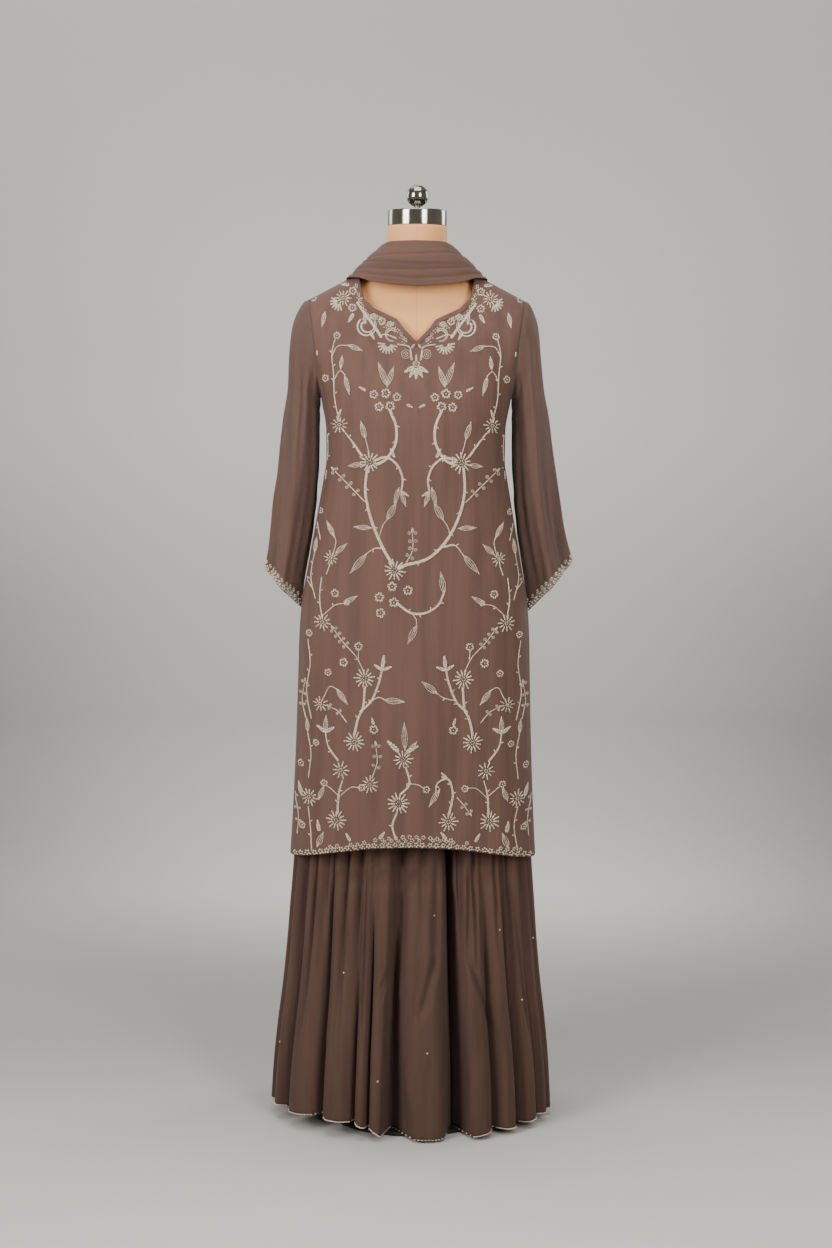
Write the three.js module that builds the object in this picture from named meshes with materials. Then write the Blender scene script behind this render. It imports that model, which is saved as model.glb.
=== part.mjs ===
// Sharara suit on a limbless dress form: kurta, gathered wide trousers and a long scarf.
// Millimetres, +Z up. The front faces -Y and the origin is the centre of the base on the floor.
import * as THREE from 'three';

// Driving dimensions
const SEAM = 0.3;
const WALL = 1.6;
const BORDER = { lift: 0.35, neckLift: 0.6, thick: 1.0, hemHigh: 15, cuffHigh: 16, neckWide: 7 };
const BASE = { radius: 150, high: 6 };
const POLE_RADIUS = 12.5;
const NECK = { radius: 50, top: 1519.7 };
const CAP = { radius: 49.5, bottom: 1520, top: 1546, round: 2.5 };
const BALL = { radius: 18.5, centre: 1569.5 };
const STEM = { radius: 5.5, foot: 9, flare: 4 };
const TORSO_BOTTOM = 705;
const CROTCH = 690;
const WAIST = { seam: 985, top: 1011 };
const UNDERARM = 1234;
const SHOULDER = { neckX: 97, neckZ: 1441, tipX: 179, tipZ: 1398 };
const ARMHOLE = { bottomX: 160, front: 58, back: 66 };
const KURTA_HEM = { front: 457, frontRise: 35, back: 452, backRise: 10, halfWidth: 211 };
const SLIT = { top: 840, open: 7 };
const SECTION_POWER = 2.4;
const SKIRT_POWER = 2.2;

// Colours, roughness and metalness of the looks
const LOOKS = {
  cloth: { color: 0x7b5b50, roughness: 0.85, metalness: 0 },
  skirt: { color: 0x6a4d43, roughness: 0.85, metalness: 0 },
  thread: { color: 0xcfc2a8, roughness: 0.7, metalness: 0 },
  form: { color: 0xc4a382, roughness: 0.8, metalness: 0 },
  chrome: { color: 0xb8b8b8, roughness: 0.15, metalness: 1 },
  steel: { color: 0x55565a, roughness: 0.5, metalness: 0.8 },
};

// Kurta body: half-width up to the underarm, front depth and back depth at each height
const KURTA = [
  { z: 440, half: 212, front: 141, back: 151 },
  { z: 546, half: 206, front: 138, back: 148 },
  { z: 650, half: 201.5, front: 135, back: 145 },
  { z: 760, half: 198, front: 132, back: 141 },
  { z: 833, half: 196, front: 130, back: 138 },
  { z: 892, half: 191.5, front: 128, back: 132 },
  { z: 938, half: 183.5, front: 127, back: 126 },
  { z: 984, half: 175.5, front: 126, back: 121 },
  { z: 1054, half: 163, front: 127, back: 116 },
  { z: 1096, half: 156, front: 129, back: 114 },
  { z: 1130, half: 151, front: 131, back: 113 },
  { z: 1180, half: 151.5, front: 131, back: 112 },
  { z: 1234, half: 160, front: 124, back: 114 },
  { z: 1290, half: 166, front: 106, back: 112 },
  { z: 1330, front: 93, back: 104 },
  { z: 1365, front: 76, back: 87 },
  { z: 1398, front: 60, back: 70 },
  { z: 1420, front: 53, back: 60 },
  { z: 1441, front: 50, back: 54 },
  { z: 1455, front: 50, back: 54 },
];

// Neckline height at each distance from the centre, front and back
const NECKLINE = [
  { x: 0, front: 1326, back: 1424 },
  { x: 19, front: 1345, back: 1425 },
  { x: 33, front: 1363, back: 1426.5 },
  { x: 50, front: 1371, back: 1429 },
  { x: 71, front: 1381, back: 1433 },
  { x: 87, front: 1397, back: 1437.5 },
  { x: 97, front: 1441, back: 1441 },
];

// Columns of the kurta panels: angle round the body low down, distance from the centre at the top
const PANEL_COLUMNS = [
  { angle: 0, topX: 0 },
  { angle: 8, topX: 19 },
  { angle: 15, topX: 33 },
  { angle: 23, topX: 50 },
  { angle: 31, topX: 71 },
  { angle: 40, topX: 87 },
  { angle: 48, topX: 97 },
  { angle: 56, topX: 113 },
  { angle: 65, topX: 131 },
  { angle: 74, topX: 150 },
  { angle: 82, topX: 167 },
  { angle: 90, topX: 179 },
];
const NECK_COLUMNS = 6;
const PANEL_SHARES = [0, 0.09, 0.2, 0.32, 0.44, 0.55, 0.66, 0.76, 0.84, 0.92, 1];
const PANEL_BELOW_TOP = [90, 52, 26, 8, 0];

// Sleeve rings: outer and inner point seen from the front, half depth and centre from front to back
const SLEEVE_RIGHT = [
  { outX: 180.2, outZ: 1398, inX: 161.2, inZ: 1234, deep: 62, midY: 4 },
  { outX: 187.5, outZ: 1394, inX: 161.3, inZ: 1231, deep: 62, midY: 4 },
  { outX: 197.5, outZ: 1380, inX: 161.2, inZ: 1226, deep: 62, midY: 5 },
  { outX: 205, outZ: 1350, inX: 161.5, inZ: 1219, deep: 61, midY: 6 },
  { outX: 211, outZ: 1302, inX: 161.8, inZ: 1208, deep: 60, midY: 8 },
  { outX: 218, outZ: 1250, inX: 162, inZ: 1188, deep: 59, midY: 10 },
  { outX: 225, outZ: 1200, inX: 162.3, inZ: 1160, deep: 58, midY: 13 },
  { outX: 230, outZ: 1155, inX: 163, inZ: 1120, deep: 57, midY: 17 },
  { outX: 237, outZ: 1105, inX: 164.5, inZ: 1074, deep: 56, midY: 22 },
  { outX: 243.5, outZ: 1060, inX: 169.5, inZ: 1026, deep: 56, midY: 27 },
  { outX: 250, outZ: 1018, inX: 179, inZ: 975, deep: 56, midY: 32 },
  { outX: 257.5, outZ: 986, inX: 188.5, inZ: 925, deep: 57, midY: 36 },
  { outX: 267, outZ: 955, inX: 196.5, inZ: 876, deep: 59, midY: 39 },
];
const SLEEVE_LEFT = [
  { outX: 180.2, outZ: 1398, inX: 161.2, inZ: 1234, deep: 62, midY: 4 },
  { outX: 187.5, outZ: 1394, inX: 161.3, inZ: 1231, deep: 62, midY: 4 },
  { outX: 197, outZ: 1380, inX: 161.2, inZ: 1226, deep: 62, midY: 5 },
  { outX: 206, outZ: 1350, inX: 161.6, inZ: 1219, deep: 61, midY: 6 },
  { outX: 212, outZ: 1302, inX: 162, inZ: 1208, deep: 60, midY: 8 },
  { outX: 217, outZ: 1250, inX: 162.3, inZ: 1188, deep: 59, midY: 10 },
  { outX: 224, outZ: 1200, inX: 162.6, inZ: 1160, deep: 58, midY: 13 },
  { outX: 228.5, outZ: 1155, inX: 163, inZ: 1120, deep: 57, midY: 17 },
  { outX: 232.5, outZ: 1105, inX: 164.5, inZ: 1074, deep: 56, midY: 22 },
  { outX: 239, outZ: 1060, inX: 169.5, inZ: 1028, deep: 56, midY: 27 },
  { outX: 243, outZ: 1018, inX: 179, inZ: 978, deep: 56, midY: 32 },
  { outX: 247.5, outZ: 978, inX: 188.5, inZ: 929, deep: 57, midY: 36 },
  { outX: 254, outZ: 940, inX: 195.5, inZ: 879, deep: 58, midY: 39 },
];
const SLEEVE_COLUMNS = 22;
const SLEEVE_FOLDS = { count: 6, deep: 3.2 };

// Sharara outline at each height, ridge to ridge
const SHARARA = [
  { z: 0, half: 245, front: 184, back: 190 },
  { z: 84, half: 240, front: 177, back: 183 },
  { z: 156, half: 233, front: 169, back: 176 },
  { z: 228, half: 224, front: 161, back: 169 },
  { z: 299, half: 217, front: 153, back: 161 },
  { z: 370, half: 211.5, front: 145, back: 153 },
  { z: 440, half: 206, front: 137, back: 147 },
  { z: 546, half: 200, front: 131, back: 141 },
  { z: 615, half: 196, front: 128, back: 136 },
  { z: 690, half: 190, front: 124, back: 131 },
  { z: 760, half: 185, front: 121, back: 130 },
  { z: 820, half: 179, front: 118, back: 128 },
  { z: 900, half: 165, front: 111, back: 114 },
  { z: 985, half: 134.2, front: 97.2, back: 90.2 },
  { z: 1011, half: 128, front: 95, back: 85 },
];

// Grooves between the folds, clockwise from the front split: angle at the crotch and at the hem,
// depth at the hem and height of the hem there. A split parts the two legs.
const GROOVES = [
  { top: 13.5, hem: 12.8, deep: 40, lift: 9 },
  { top: 26, hem: 27.5, deep: 24, lift: 10 },
  { top: 37.5, hem: 40.9, deep: 20, lift: 13 },
  { top: 52, hem: 56, deep: 22, lift: 15 },
  { top: 69, hem: 71, deep: 24, lift: 12 },
  { top: 86, hem: 86, deep: 15, lift: 10 },
  { top: 100, hem: 100, deep: 26, lift: 13 },
  { top: 114, hem: 113, deep: 20, lift: 16 },
  { top: 127, hem: 127, deep: 30, lift: 13 },
  { top: 141, hem: 140, deep: 22, lift: 15 },
  { top: 154, hem: 153, deep: 28, lift: 12 },
  { top: 166, hem: 166, deep: 18, lift: 14 },
  { top: 176, hem: 176.5, deep: 36, lift: 12 },
  { top: 188, hem: 188, deep: 24, lift: 15 },
  { top: 201, hem: 202, deep: 18, lift: 13 },
  { top: 215, hem: 214, deep: 30, lift: 12 },
  { top: 229, hem: 228, deep: 20, lift: 16 },
  { top: 242, hem: 243, deep: 27, lift: 14 },
  { top: 257, hem: 257, deep: 22, lift: 17 },
  { top: 271, hem: 271, deep: 14, lift: 20 },
  { top: 287, hem: 288, deep: 24, lift: 23 },
  { top: 302, hem: 304, deep: 26, lift: 24 },
  { top: 323, hem: 326.5, deep: 20, lift: 28 },
  { top: 336.6, hem: 338.2, deep: 14, lift: 27 },
  { top: 344, hem: 344.1, deep: 10, lift: 20 },
  { top: 355, hem: 351.7, deep: 38, lift: 12 },
  { top: 373.5, hem: 372.8, deep: 40, lift: 9 },
];
const FRONT_SPLIT = 0;
const BACK_SPLIT = 12;
const LAST_SPLIT = 26;
const LEG_GAP = 2;
const GROOVE_STEPS = [-0.27, -0.1, 0.1, 0.27, 0.5];
const LEG_ROWS = [0, 0.13, 0.28, 0.43, 0.58, 0.72, 0.86, 1];

// Dress form: half-width, front depth and back depth at each height
const FORM = [
  { z: 705, half: 160, front: 100, back: 104 },
  { z: 716, half: 168, front: 107, back: 112 },
  { z: 770, half: 173, front: 112, back: 119 },
  { z: 820, half: 174, front: 112, back: 122 },
  { z: 900, half: 160, front: 106, back: 108 },
  { z: 985, half: 131.2, front: 94.3, back: 87.3 },
  { z: 1011, half: 125, front: 91.5, back: 82 },
  { z: 1030, half: 122, front: 91, back: 80 },
  { z: 1090, half: 128, front: 99, back: 84 },
  { z: 1150, half: 138, front: 119, back: 93 },
  { z: 1190, half: 143, front: 127.6, back: 97 },
  { z: 1240, half: 147, front: 115, back: 100 },
  { z: 1290, half: 153, front: 92, back: 100 },
  { z: 1330, half: 159, front: 80, back: 94 },
  { z: 1365, half: 163, front: 64, back: 77 },
  { z: 1385, half: 158, front: 50, back: 60 },
  { z: 1400, half: 145, front: 41, back: 52 },
  { z: 1415, half: 119, front: 35, back: 46 },
  { z: 1428, half: 93, front: 34, back: 44 },
  { z: 1440, half: 72, front: 38, back: 45 },
  { z: 1452, half: 61, front: 45, back: 48 },
  { z: 1466, half: 53, front: 48, back: 49 },
  { z: 1482, half: 50.5, front: 49.5, back: 50 },
  { z: 1500, half: 50, front: 50, back: 50 },
  { z: 1519.7, half: 50, front: 50, back: 50 },
];
const FORM_COLUMNS = 28;

// Scarf round the neck, from the front centre to the back: its upper and its lower edge
const SCARF = [
  { along: 0, upX: 0, upY: -56, upZ: 1493, lowX: 0, lowY: -67, lowZ: 1418 },
  { along: 0.2, upX: 31, upY: -49, upZ: 1492, lowX: 48, lowY: -62, lowZ: 1424 },
  { along: 0.38, upX: 52, upY: -30, upZ: 1488, lowX: 92, lowY: -42, lowZ: 1433 },
  { along: 0.55, upX: 61, upY: -4, upZ: 1484, lowX: 117, lowY: -6, lowZ: 1433 },
  { along: 0.7, upX: 61, upY: 22, upZ: 1478, lowX: 119, lowY: 26, lowZ: 1431 },
  { along: 0.86, upX: 54, upY: 48, upZ: 1466, lowX: 113, lowY: 54, lowZ: 1418 },
  { along: 1, upX: 46, upY: 66, upZ: 1446, lowX: 106, lowY: 72, lowZ: 1396 },
];
const SCARF_FOLDS = [
  { across: 0.34, deep: 5, wide: 0.09 },
  { across: 0.62, deep: 3, wide: 0.08 },
  { across: 0.84, deep: 4, wide: 0.07 },
];
const SCARF_BULGE = 8;
const TAIL = {
  innerTop: 46, innerHem: 40, outerTop: 106, outerHem: 150, hem: 520,
  topInnerZ: 1445, topOuterZ: 1395, clear: 3.6, pleats: 4, pleatDeep: 7, topLift: 7, liftFade: 110,
};

const group = new THREE.Group();

// Smooth value of a table's column: a cubic through the rows, straight past its ends
function tableValue(rows, key, column, at) {
  const last = rows.length - 1;
  let i = 0;
  while (i < last - 1 && at > rows[i + 1][key]) i += 1;
  const slope = (a, b) => (rows[b][column] - rows[a][column]) / (rows[b][key] - rows[a][key]);
  const here = slope(i, i + 1);
  const tangent = (j) => {
    if (j <= 0 || j >= last) return here;
    const before = slope(j - 1, j);
    const after = slope(j, j + 1);
    return before * after <= 0 ? 0 : 2 * before * after / (before + after);
  };
  const span = rows[i + 1][key] - rows[i][key];
  const t = (at - rows[i][key]) / span;
  if (t <= 0) return rows[i][column] + tangent(i) * (at - rows[i][key]);
  if (t >= 1) return rows[i + 1][column] + tangent(i + 1) * (at - rows[i + 1][key]);
  const h = t * t * (3 - 2 * t);
  return rows[i][column] * (1 - h) + rows[i + 1][column] * h
    + span * (t * (1 - t) * (1 - t) * tangent(i) - t * t * (1 - t) * tangent(i + 1));
}

const mix = (a, b, t) => a + (b - a) * t;

function smooth(from, to, value) {
  const t = Math.min(1, Math.max(0, (value - from) / (to - from)));
  return t * t * (3 - 2 * t);
}

function signedPower(value, power) {
  return Math.sign(value) * Math.abs(value) ** power;
}

function addMesh(name, look, triangles) {
  const geometry = new THREE.BufferGeometry();
  geometry.setAttribute('position', new THREE.Float32BufferAttribute(triangles.flat(), 3));
  const mesh = new THREE.Mesh(geometry, new THREE.MeshStandardMaterial(LOOKS[look]));
  mesh.name = name;
  group.add(mesh);
}

function quad(list, a, b, c, d) {
  // Split along the shorter diagonal
  if (a.distanceTo(c) <= b.distanceTo(d)) {
    list.push([...a, ...b, ...c], [...a, ...c, ...d]);
  } else {
    list.push([...a, ...b, ...d], [...b, ...c, ...d]);
  }
}

// Normals of a grid of points, rows going up and columns anticlockwise seen from above
function gridNormals(points, closed) {
  const rows = points.length;
  const columns = points[0].length;
  return points.map((row, r) => row.map((point, c) => {
    const before = closed ? (c + columns - 1) % columns : Math.max(0, c - 1);
    const after = closed ? (c + 1) % columns : Math.min(columns - 1, c + 1);
    const along = row[after].clone().sub(row[before]);
    const up = points[Math.min(rows - 1, r + 1)][c].clone().sub(points[Math.max(0, r - 1)][c]);
    return along.cross(up).normalize();
  }));
}

// A closed wall between two layers of one grid
function addWall(name, look, outer, inner, closed) {
  const list = [];
  const rows = outer.length;
  const columns = outer[0].length;
  const spans = closed ? columns : columns - 1;
  for (let c = 0; c < spans; c += 1) {
    const d = (c + 1) % columns;
    for (let r = 0; r < rows - 1; r += 1) {
      quad(list, outer[r][c], outer[r][d], outer[r + 1][d], outer[r + 1][c]);
      quad(list, inner[r + 1][c], inner[r + 1][d], inner[r][d], inner[r][c]);
    }
    quad(list, inner[0][c], inner[0][d], outer[0][d], outer[0][c]);
    quad(list, outer[rows - 1][c], outer[rows - 1][d], inner[rows - 1][d], inner[rows - 1][c]);
  }
  if (!closed) {
    const e = columns - 1;
    for (let r = 0; r < rows - 1; r += 1) {
      quad(list, inner[r][0], outer[r][0], outer[r + 1][0], inner[r + 1][0]);
      quad(list, outer[r][e], inner[r][e], inner[r + 1][e], outer[r + 1][e]);
    }
  }
  addMesh(name, look, list);
}

// The same grid moved along its normals
function moved(points, normals, distance) {
  return points.map((row, r) => row.map((p, c) => p.clone().addScaledVector(normals[r][c], distance)));
}

// Half-width, and depth, of the kurta's section
function kurtaHalf(z, depthKey) {
  if (z <= UNDERARM || z >= SHOULDER.tipZ) return panelEdge(z);
  const depth = tableValue(KURTA, 'z', depthKey, z);
  const rim = armholeY(z, depthKey);
  return armholeX(z) / (1 - (rim / depth) ** SECTION_POWER) ** (1 / SECTION_POWER);
}

function armholeX(z) {
  return mix(ARMHOLE.bottomX, SHOULDER.tipX, (z - UNDERARM) / (SHOULDER.tipZ - UNDERARM));
}

function armholeY(z, depthKey) {
  const halfHigh = (SHOULDER.tipZ - UNDERARM) / 2;
  const t = (z - UNDERARM - halfHigh) / halfHigh;
  return ARMHOLE[depthKey] * Math.sqrt(Math.max(0, 1 - t * t));
}

// Where the panel ends sideways: the side seam, the armhole or the shoulder seam
function panelEdge(z) {
  if (z <= UNDERARM) return tableValue(KURTA, 'z', 'half', z);
  if (z <= SHOULDER.tipZ) return armholeX(z);
  const rise = (z - SHOULDER.tipZ) / (SHOULDER.neckZ - SHOULDER.tipZ);
  return mix(SHOULDER.tipX, SHOULDER.neckX, rise);
}

// Distance of the kurta's surface from the middle plane, before or behind
function kurtaDepth(x, z, depthKey) {
  const depth = tableValue(KURTA, 'z', depthKey, z);
  const share = Math.min(1, Math.abs(x) / kurtaHalf(z, depthKey));
  const drape = 2.5 * Math.sin(x / 21 + 0.6) * smooth(1000, 500, z) * (1 - share ** 4);
  return depth * (1 - share ** SECTION_POWER) ** (1 / SECTION_POWER) + drape;
}

function panelTop(x, depthKey) {
  if (x <= SHOULDER.neckX) return tableValue(NECKLINE, 'x', depthKey, x);
  return mix(SHOULDER.neckZ, SHOULDER.tipZ, (x - SHOULDER.neckX) / (SHOULDER.tipX - SHOULDER.neckX));
}

function panelHem(x, depthKey) {
  const share = Math.min(1, Math.abs(x) / KURTA_HEM.halfWidth);
  return KURTA_HEM[depthKey] + KURTA_HEM[`${depthKey}Rise`] * (1 - share * share);
}

// A point of a front or back panel: column index and row index
function panelPoint(column, row, depthKey, facing) {
  const side = Math.sign(column);
  const { angle, topX } = PANEL_COLUMNS[Math.abs(column)];
  const lowShare = Math.sin(THREE.MathUtils.degToRad(angle)) ** (2 / SECTION_POWER);
  const topShare = topX / SHOULDER.tipX;
  const bottom = panelHem(lowShare * KURTA_HEM.halfWidth, depthKey);
  const top = panelTop(topX, depthKey);
  const upper = row - PANEL_SHARES.length + 1;
  const z = upper > 0 ? top - PANEL_BELOW_TOP[upper] : mix(bottom, top - PANEL_BELOW_TOP[0], PANEL_SHARES[row]);
  const fade = smooth(1020, 1250, z);
  const reach = z < SHOULDER.tipZ ? panelEdge(z) : SHOULDER.tipX;
  const atEdge = Math.abs(column) === PANEL_COLUMNS.length - 1;
  const x = atEdge ? panelEdge(z) : reach * mix(lowShare, topShare, fade);
  const slit = SLIT.open * smooth(SLIT.top, KURTA_HEM.front, z);
  let y = kurtaDepth(x, z, depthKey);
  if (atEdge && (z <= UNDERARM || z === top)) y = 0;
  y = Math.max(y, SEAM / 2 + slit);
  return new THREE.Vector3(side * x, facing * y, z);
}

// Outward normals of a panel, straight out at the side and shoulder seams
function panelNormals(points, facing) {
  const normals = gridNormals(points, false);
  const last = points[0].length - 1;
  const top = points.length - 1;
  const middle = last / 2;
  const slope = new THREE.Vector3(SHOULDER.neckZ - SHOULDER.tipZ, 0, SHOULDER.tipX - SHOULDER.neckX);
  slope.normalize();
  points.forEach((row, r) => row.forEach((point, c) => {
    const normal = normals[r][c];
    const side = Math.sign(point.x);
    if ((c === 0 || c === last) && point.z <= UNDERARM) normal.set(side, 0, 0);
    const fromMiddle = Math.abs(c - middle);
    const onShoulder = (r === top && fromMiddle >= NECK_COLUMNS) || (r === top - 1 && fromMiddle === NECK_COLUMNS);
    if (onShoulder) normal.set(side * slope.x, 0, slope.z);
    if (normal.y * facing < 0) normal.setY(0).normalize();
  }));
  return normals;
}

function buildPanel(name, borderName, depthKey, facing) {
  const reach = PANEL_COLUMNS.length - 1;
  const columns = Array.from({ length: 2 * reach + 1 }, (_, i) => (i - reach) * -facing);
  const rows = PANEL_SHARES.length + PANEL_BELOW_TOP.length - 1;
  const outer = Array.from({ length: rows }, (_, row) => (
    columns.map((c) => panelPoint(c, row, depthKey, facing))
  ));
  placeBindingRow(outer, depthKey, facing);
  const normals = panelNormals(outer, facing);
  buildBinding(`neck_binding_${depthKey}`, outer, normals);
  addWall(name, 'cloth', outer, moved(outer, normals, -WALL), false);
  const border = [outer[0], outer[0].map((point, c) => {
    const above = outer[1][c];
    return point.clone().lerp(above, BORDER.hemHigh / point.distanceTo(above));
  })];
  const out = [normals[0], normals[0]];
  const low = moved(border, out, BORDER.lift);
  addWall(borderName, 'thread', moved(border, out, BORDER.lift + BORDER.thick), low, false);
}

// The neckline's strip of a panel: its top row and a row beside it, away from the opening
function placeBindingRow(outer, depthKey, facing) {
  const top = outer.length - 1;
  const reach = PANEL_COLUMNS.length - 1;
  const first = reach - NECK_COLUMNS;
  const last = reach + NECK_COLUMNS;
  const rim = outer[top];
  for (let c = first; c <= last; c += 1) {
    const atEnd = c === first || c === last;
    const from = rim[c === last ? last : c - 1];
    const to = rim[c === first ? first : c + 1];
    const along = new THREE.Vector2(to.x - from.x, to.z - from.z).normalize();
    if (atEnd && rim[c].x * along.x < 0) along.negate();
    const away = new THREE.Vector2(-along.y, along.x).multiplyScalar(-facing);
    if (away.y > 0) away.negate();
    if (atEnd) away.copy(along);
    const x = rim[c].x + away.x * BORDER.neckWide;
    const z = rim[c].z + away.y * BORDER.neckWide;
    const y = atEnd ? SEAM / 2 : kurtaDepth(x, z, depthKey);
    outer[top - 1][c].set(x, facing * y, z);
  }
}

function buildBinding(name, outer, normals) {
  const reach = PANEL_COLUMNS.length - 1;
  const top = outer.length - 1;
  const take = (row) => row.slice(reach - NECK_COLUMNS, reach + NECK_COLUMNS + 1);
  const strip = [take(outer[top - 1]), take(outer[top])];
  const out = [take(normals[top - 1]), take(normals[top])];
  const low = moved(strip, out, BORDER.neckLift);
  addWall(name, 'cloth', moved(strip, out, BORDER.neckLift + BORDER.thick), low, false);
}

function sleevePoint(ring, column, row, count) {
  const angle = 2 * Math.PI * column / SLEEVE_COLUMNS;
  const grow = smooth(3, count - 1, row);
  const fold = 1 + SLEEVE_FOLDS.deep * grow * Math.cos(SLEEVE_FOLDS.count * angle + 0.9) / ring.deep;
  const across = Math.cos(angle) * fold;
  const x = (ring.outX + ring.inX) / 2 + (ring.outX - ring.inX) / 2 * across;
  const z = (ring.outZ + ring.inZ) / 2 + (ring.outZ - ring.inZ) / 2 * across;
  return new THREE.Vector3(x, ring.midY + ring.deep * Math.sin(angle) * fold, z);
}

function buildSleeve(side, table, name, borderName) {
  const rings = [...table].reverse();
  const columns = Array.from({ length: SLEEVE_COLUMNS }, (_, i) => i * side);
  const outer = rings.map((ring, r) => columns.map((c) => {
    const point = sleevePoint(ring, c, rings.length - 1 - r, rings.length);
    point.x *= side;
    return point;
  }));
  const normals = gridNormals(outer, true);
  addWall(name, 'cloth', outer, moved(outer, normals, -WALL), true);
  const border = [outer[0], outer[0].map((point, c) => {
    const above = outer[1][c];
    return point.clone().lerp(above, Math.min(0.8, BORDER.cuffHigh / point.distanceTo(above)));
  })];
  const out = [normals[0], normals[0]];
  const low = moved(border, out, BORDER.lift);
  addWall(borderName, 'thread', moved(border, out, BORDER.lift + BORDER.thick), low, true);
}

// A point of the sharara's outside: place among the grooves and height
function shararaPoint(place, z) {
  const i = Math.min(GROOVES.length - 2, Math.max(0, Math.floor(place)));
  const part = place - i;
  const low = GROOVES[i];
  const high = GROOVES[i + 1];
  const drop = smooth(CROTCH + 60, 0, z);
  const angleOf = (groove) => mix(groove.top, groove.hem, drop);
  const angle = THREE.MathUtils.degToRad(mix(angleOf(low), angleOf(high), part));
  const near = part < 0.5 ? low : high;
  const away = Math.min(part, 1 - part) * 2;
  const growth = z > CROTCH + 40 ? 0 : mix(0.1, 1, ((CROTCH + 40 - z) / (CROTCH + 40)) ** 0.85);
  const inward = near.deep * growth * (0.5 + 0.5 * Math.cos(Math.PI * away)) ** 1.8;
  const half = tableValue(SHARARA, 'z', 'half', z) - inward;
  const forward = Math.cos(angle) > 0;
  const depth = tableValue(SHARARA, 'z', forward ? 'front' : 'back', z) - inward;
  return new THREE.Vector3(
    half * signedPower(Math.sin(angle), 2 / SKIRT_POWER),
    -depth * signedPower(Math.cos(angle), 2 / SKIRT_POWER),
    z,
  );
}

function hemHeight(place) {
  const i = Math.min(GROOVES.length - 2, Math.floor(place));
  return mix(GROOVES[i].lift, GROOVES[i + 1].lift, smooth(0, 1, place - i));
}

// Places of the columns from one split to the next, anticlockwise seen from above
function legPlaces(from, to) {
  const places = [from];
  for (let i = from; i < to; i += 1) {
    GROOVE_STEPS.forEach((step) => {
      if (i + step > from) places.push(i + step);
    });
  }
  places.push(to - 0.27, to - 0.1, to);
  return places;
}

const INNER_STEPS = 8;

// One leg: its outside, then the inner wall back to the start
function buildLeg(name, from, to, side) {
  const places = legPlaces(from, to);
  const outer = LEG_ROWS.map((share) => {
    const ring = places.map((place) => {
      const z = mix(hemHeight(place), CROTCH, share);
      const point = shararaPoint(place, z);
      const atEnd = Math.max(0, 1 - Math.min(place - from, to - place) * 4);
      point.x += side * LEG_GAP * atEnd;
      return point;
    });
    const start = ring[ring.length - 1];
    const end = ring[0];
    for (let k = 1; k < INNER_STEPS; k += 1) {
      const t = k / INNER_STEPS;
      const point = start.clone().lerp(end, t);
      const z = point.z;
      const spread = smooth(CROTCH, 0, z);
      point.x += side * ((3 + 5 * spread) * Math.sin(Math.PI * t) + 5 * spread * Math.sin(4 * Math.PI * t));
      ring.push(point);
    }
    return ring;
  });
  const normals = gridNormals(outer, true);
  addWall(name, 'skirt', outer, moved(outer, normals, -WALL), true);
}

// Yoke and waistband: plain rings above the crotch
function buildHipRing(name, heights) {
  const count = 36;
  const turn = LAST_SPLIT - FRONT_SPLIT;
  const outer = heights.map((z) => Array.from({ length: count }, (_, i) => (
    shararaPoint(FRONT_SPLIT + turn * i / count, z)
  )));
  const normals = gridNormals(outer, true);
  addWall(name, 'skirt', outer, moved(outer, normals, -WALL), true);
}

function formPoint(angle, z) {
  const power = mix(2.2, 2, smooth(1440, 1490, z));
  const depth = tableValue(FORM, 'z', Math.cos(angle) > 0 ? 'front' : 'back', z);
  return new THREE.Vector3(
    tableValue(FORM, 'z', 'half', z) * signedPower(Math.sin(angle), 2 / power),
    -depth * signedPower(Math.cos(angle), 2 / power),
    z,
  );
}

function buildTorso() {
  const rings = FORM.map((row) => Array.from({ length: FORM_COLUMNS }, (_, i) => (
    formPoint(2 * Math.PI * i / FORM_COLUMNS, row.z)
  )));
  const list = [];
  const top = rings.length - 1;
  const low = new THREE.Vector3(0, 0, TORSO_BOTTOM);
  const high = new THREE.Vector3(0, 0, NECK.top);
  for (let c = 0; c < FORM_COLUMNS; c += 1) {
    const d = (c + 1) % FORM_COLUMNS;
    for (let r = 0; r < top; r += 1) {
      quad(list, rings[r][c], rings[r][d], rings[r + 1][d], rings[r + 1][c]);
    }
    list.push([...low, ...rings[0][d], ...rings[0][c]]);
    list.push([...high, ...rings[top][c], ...rings[top][d]]);
  }
  addMesh('form_torso', 'form', list);
}

// A turned piece from its profile of radius and height
function addTurned(name, look, profile, sides) {
  const geometry = new THREE.LatheGeometry(profile.map(([r, z]) => new THREE.Vector2(r, z)), sides);
  geometry.rotateX(Math.PI / 2);
  const mesh = new THREE.Mesh(geometry, new THREE.MeshStandardMaterial(LOOKS[look]));
  mesh.name = name;
  group.add(mesh);
}

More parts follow.
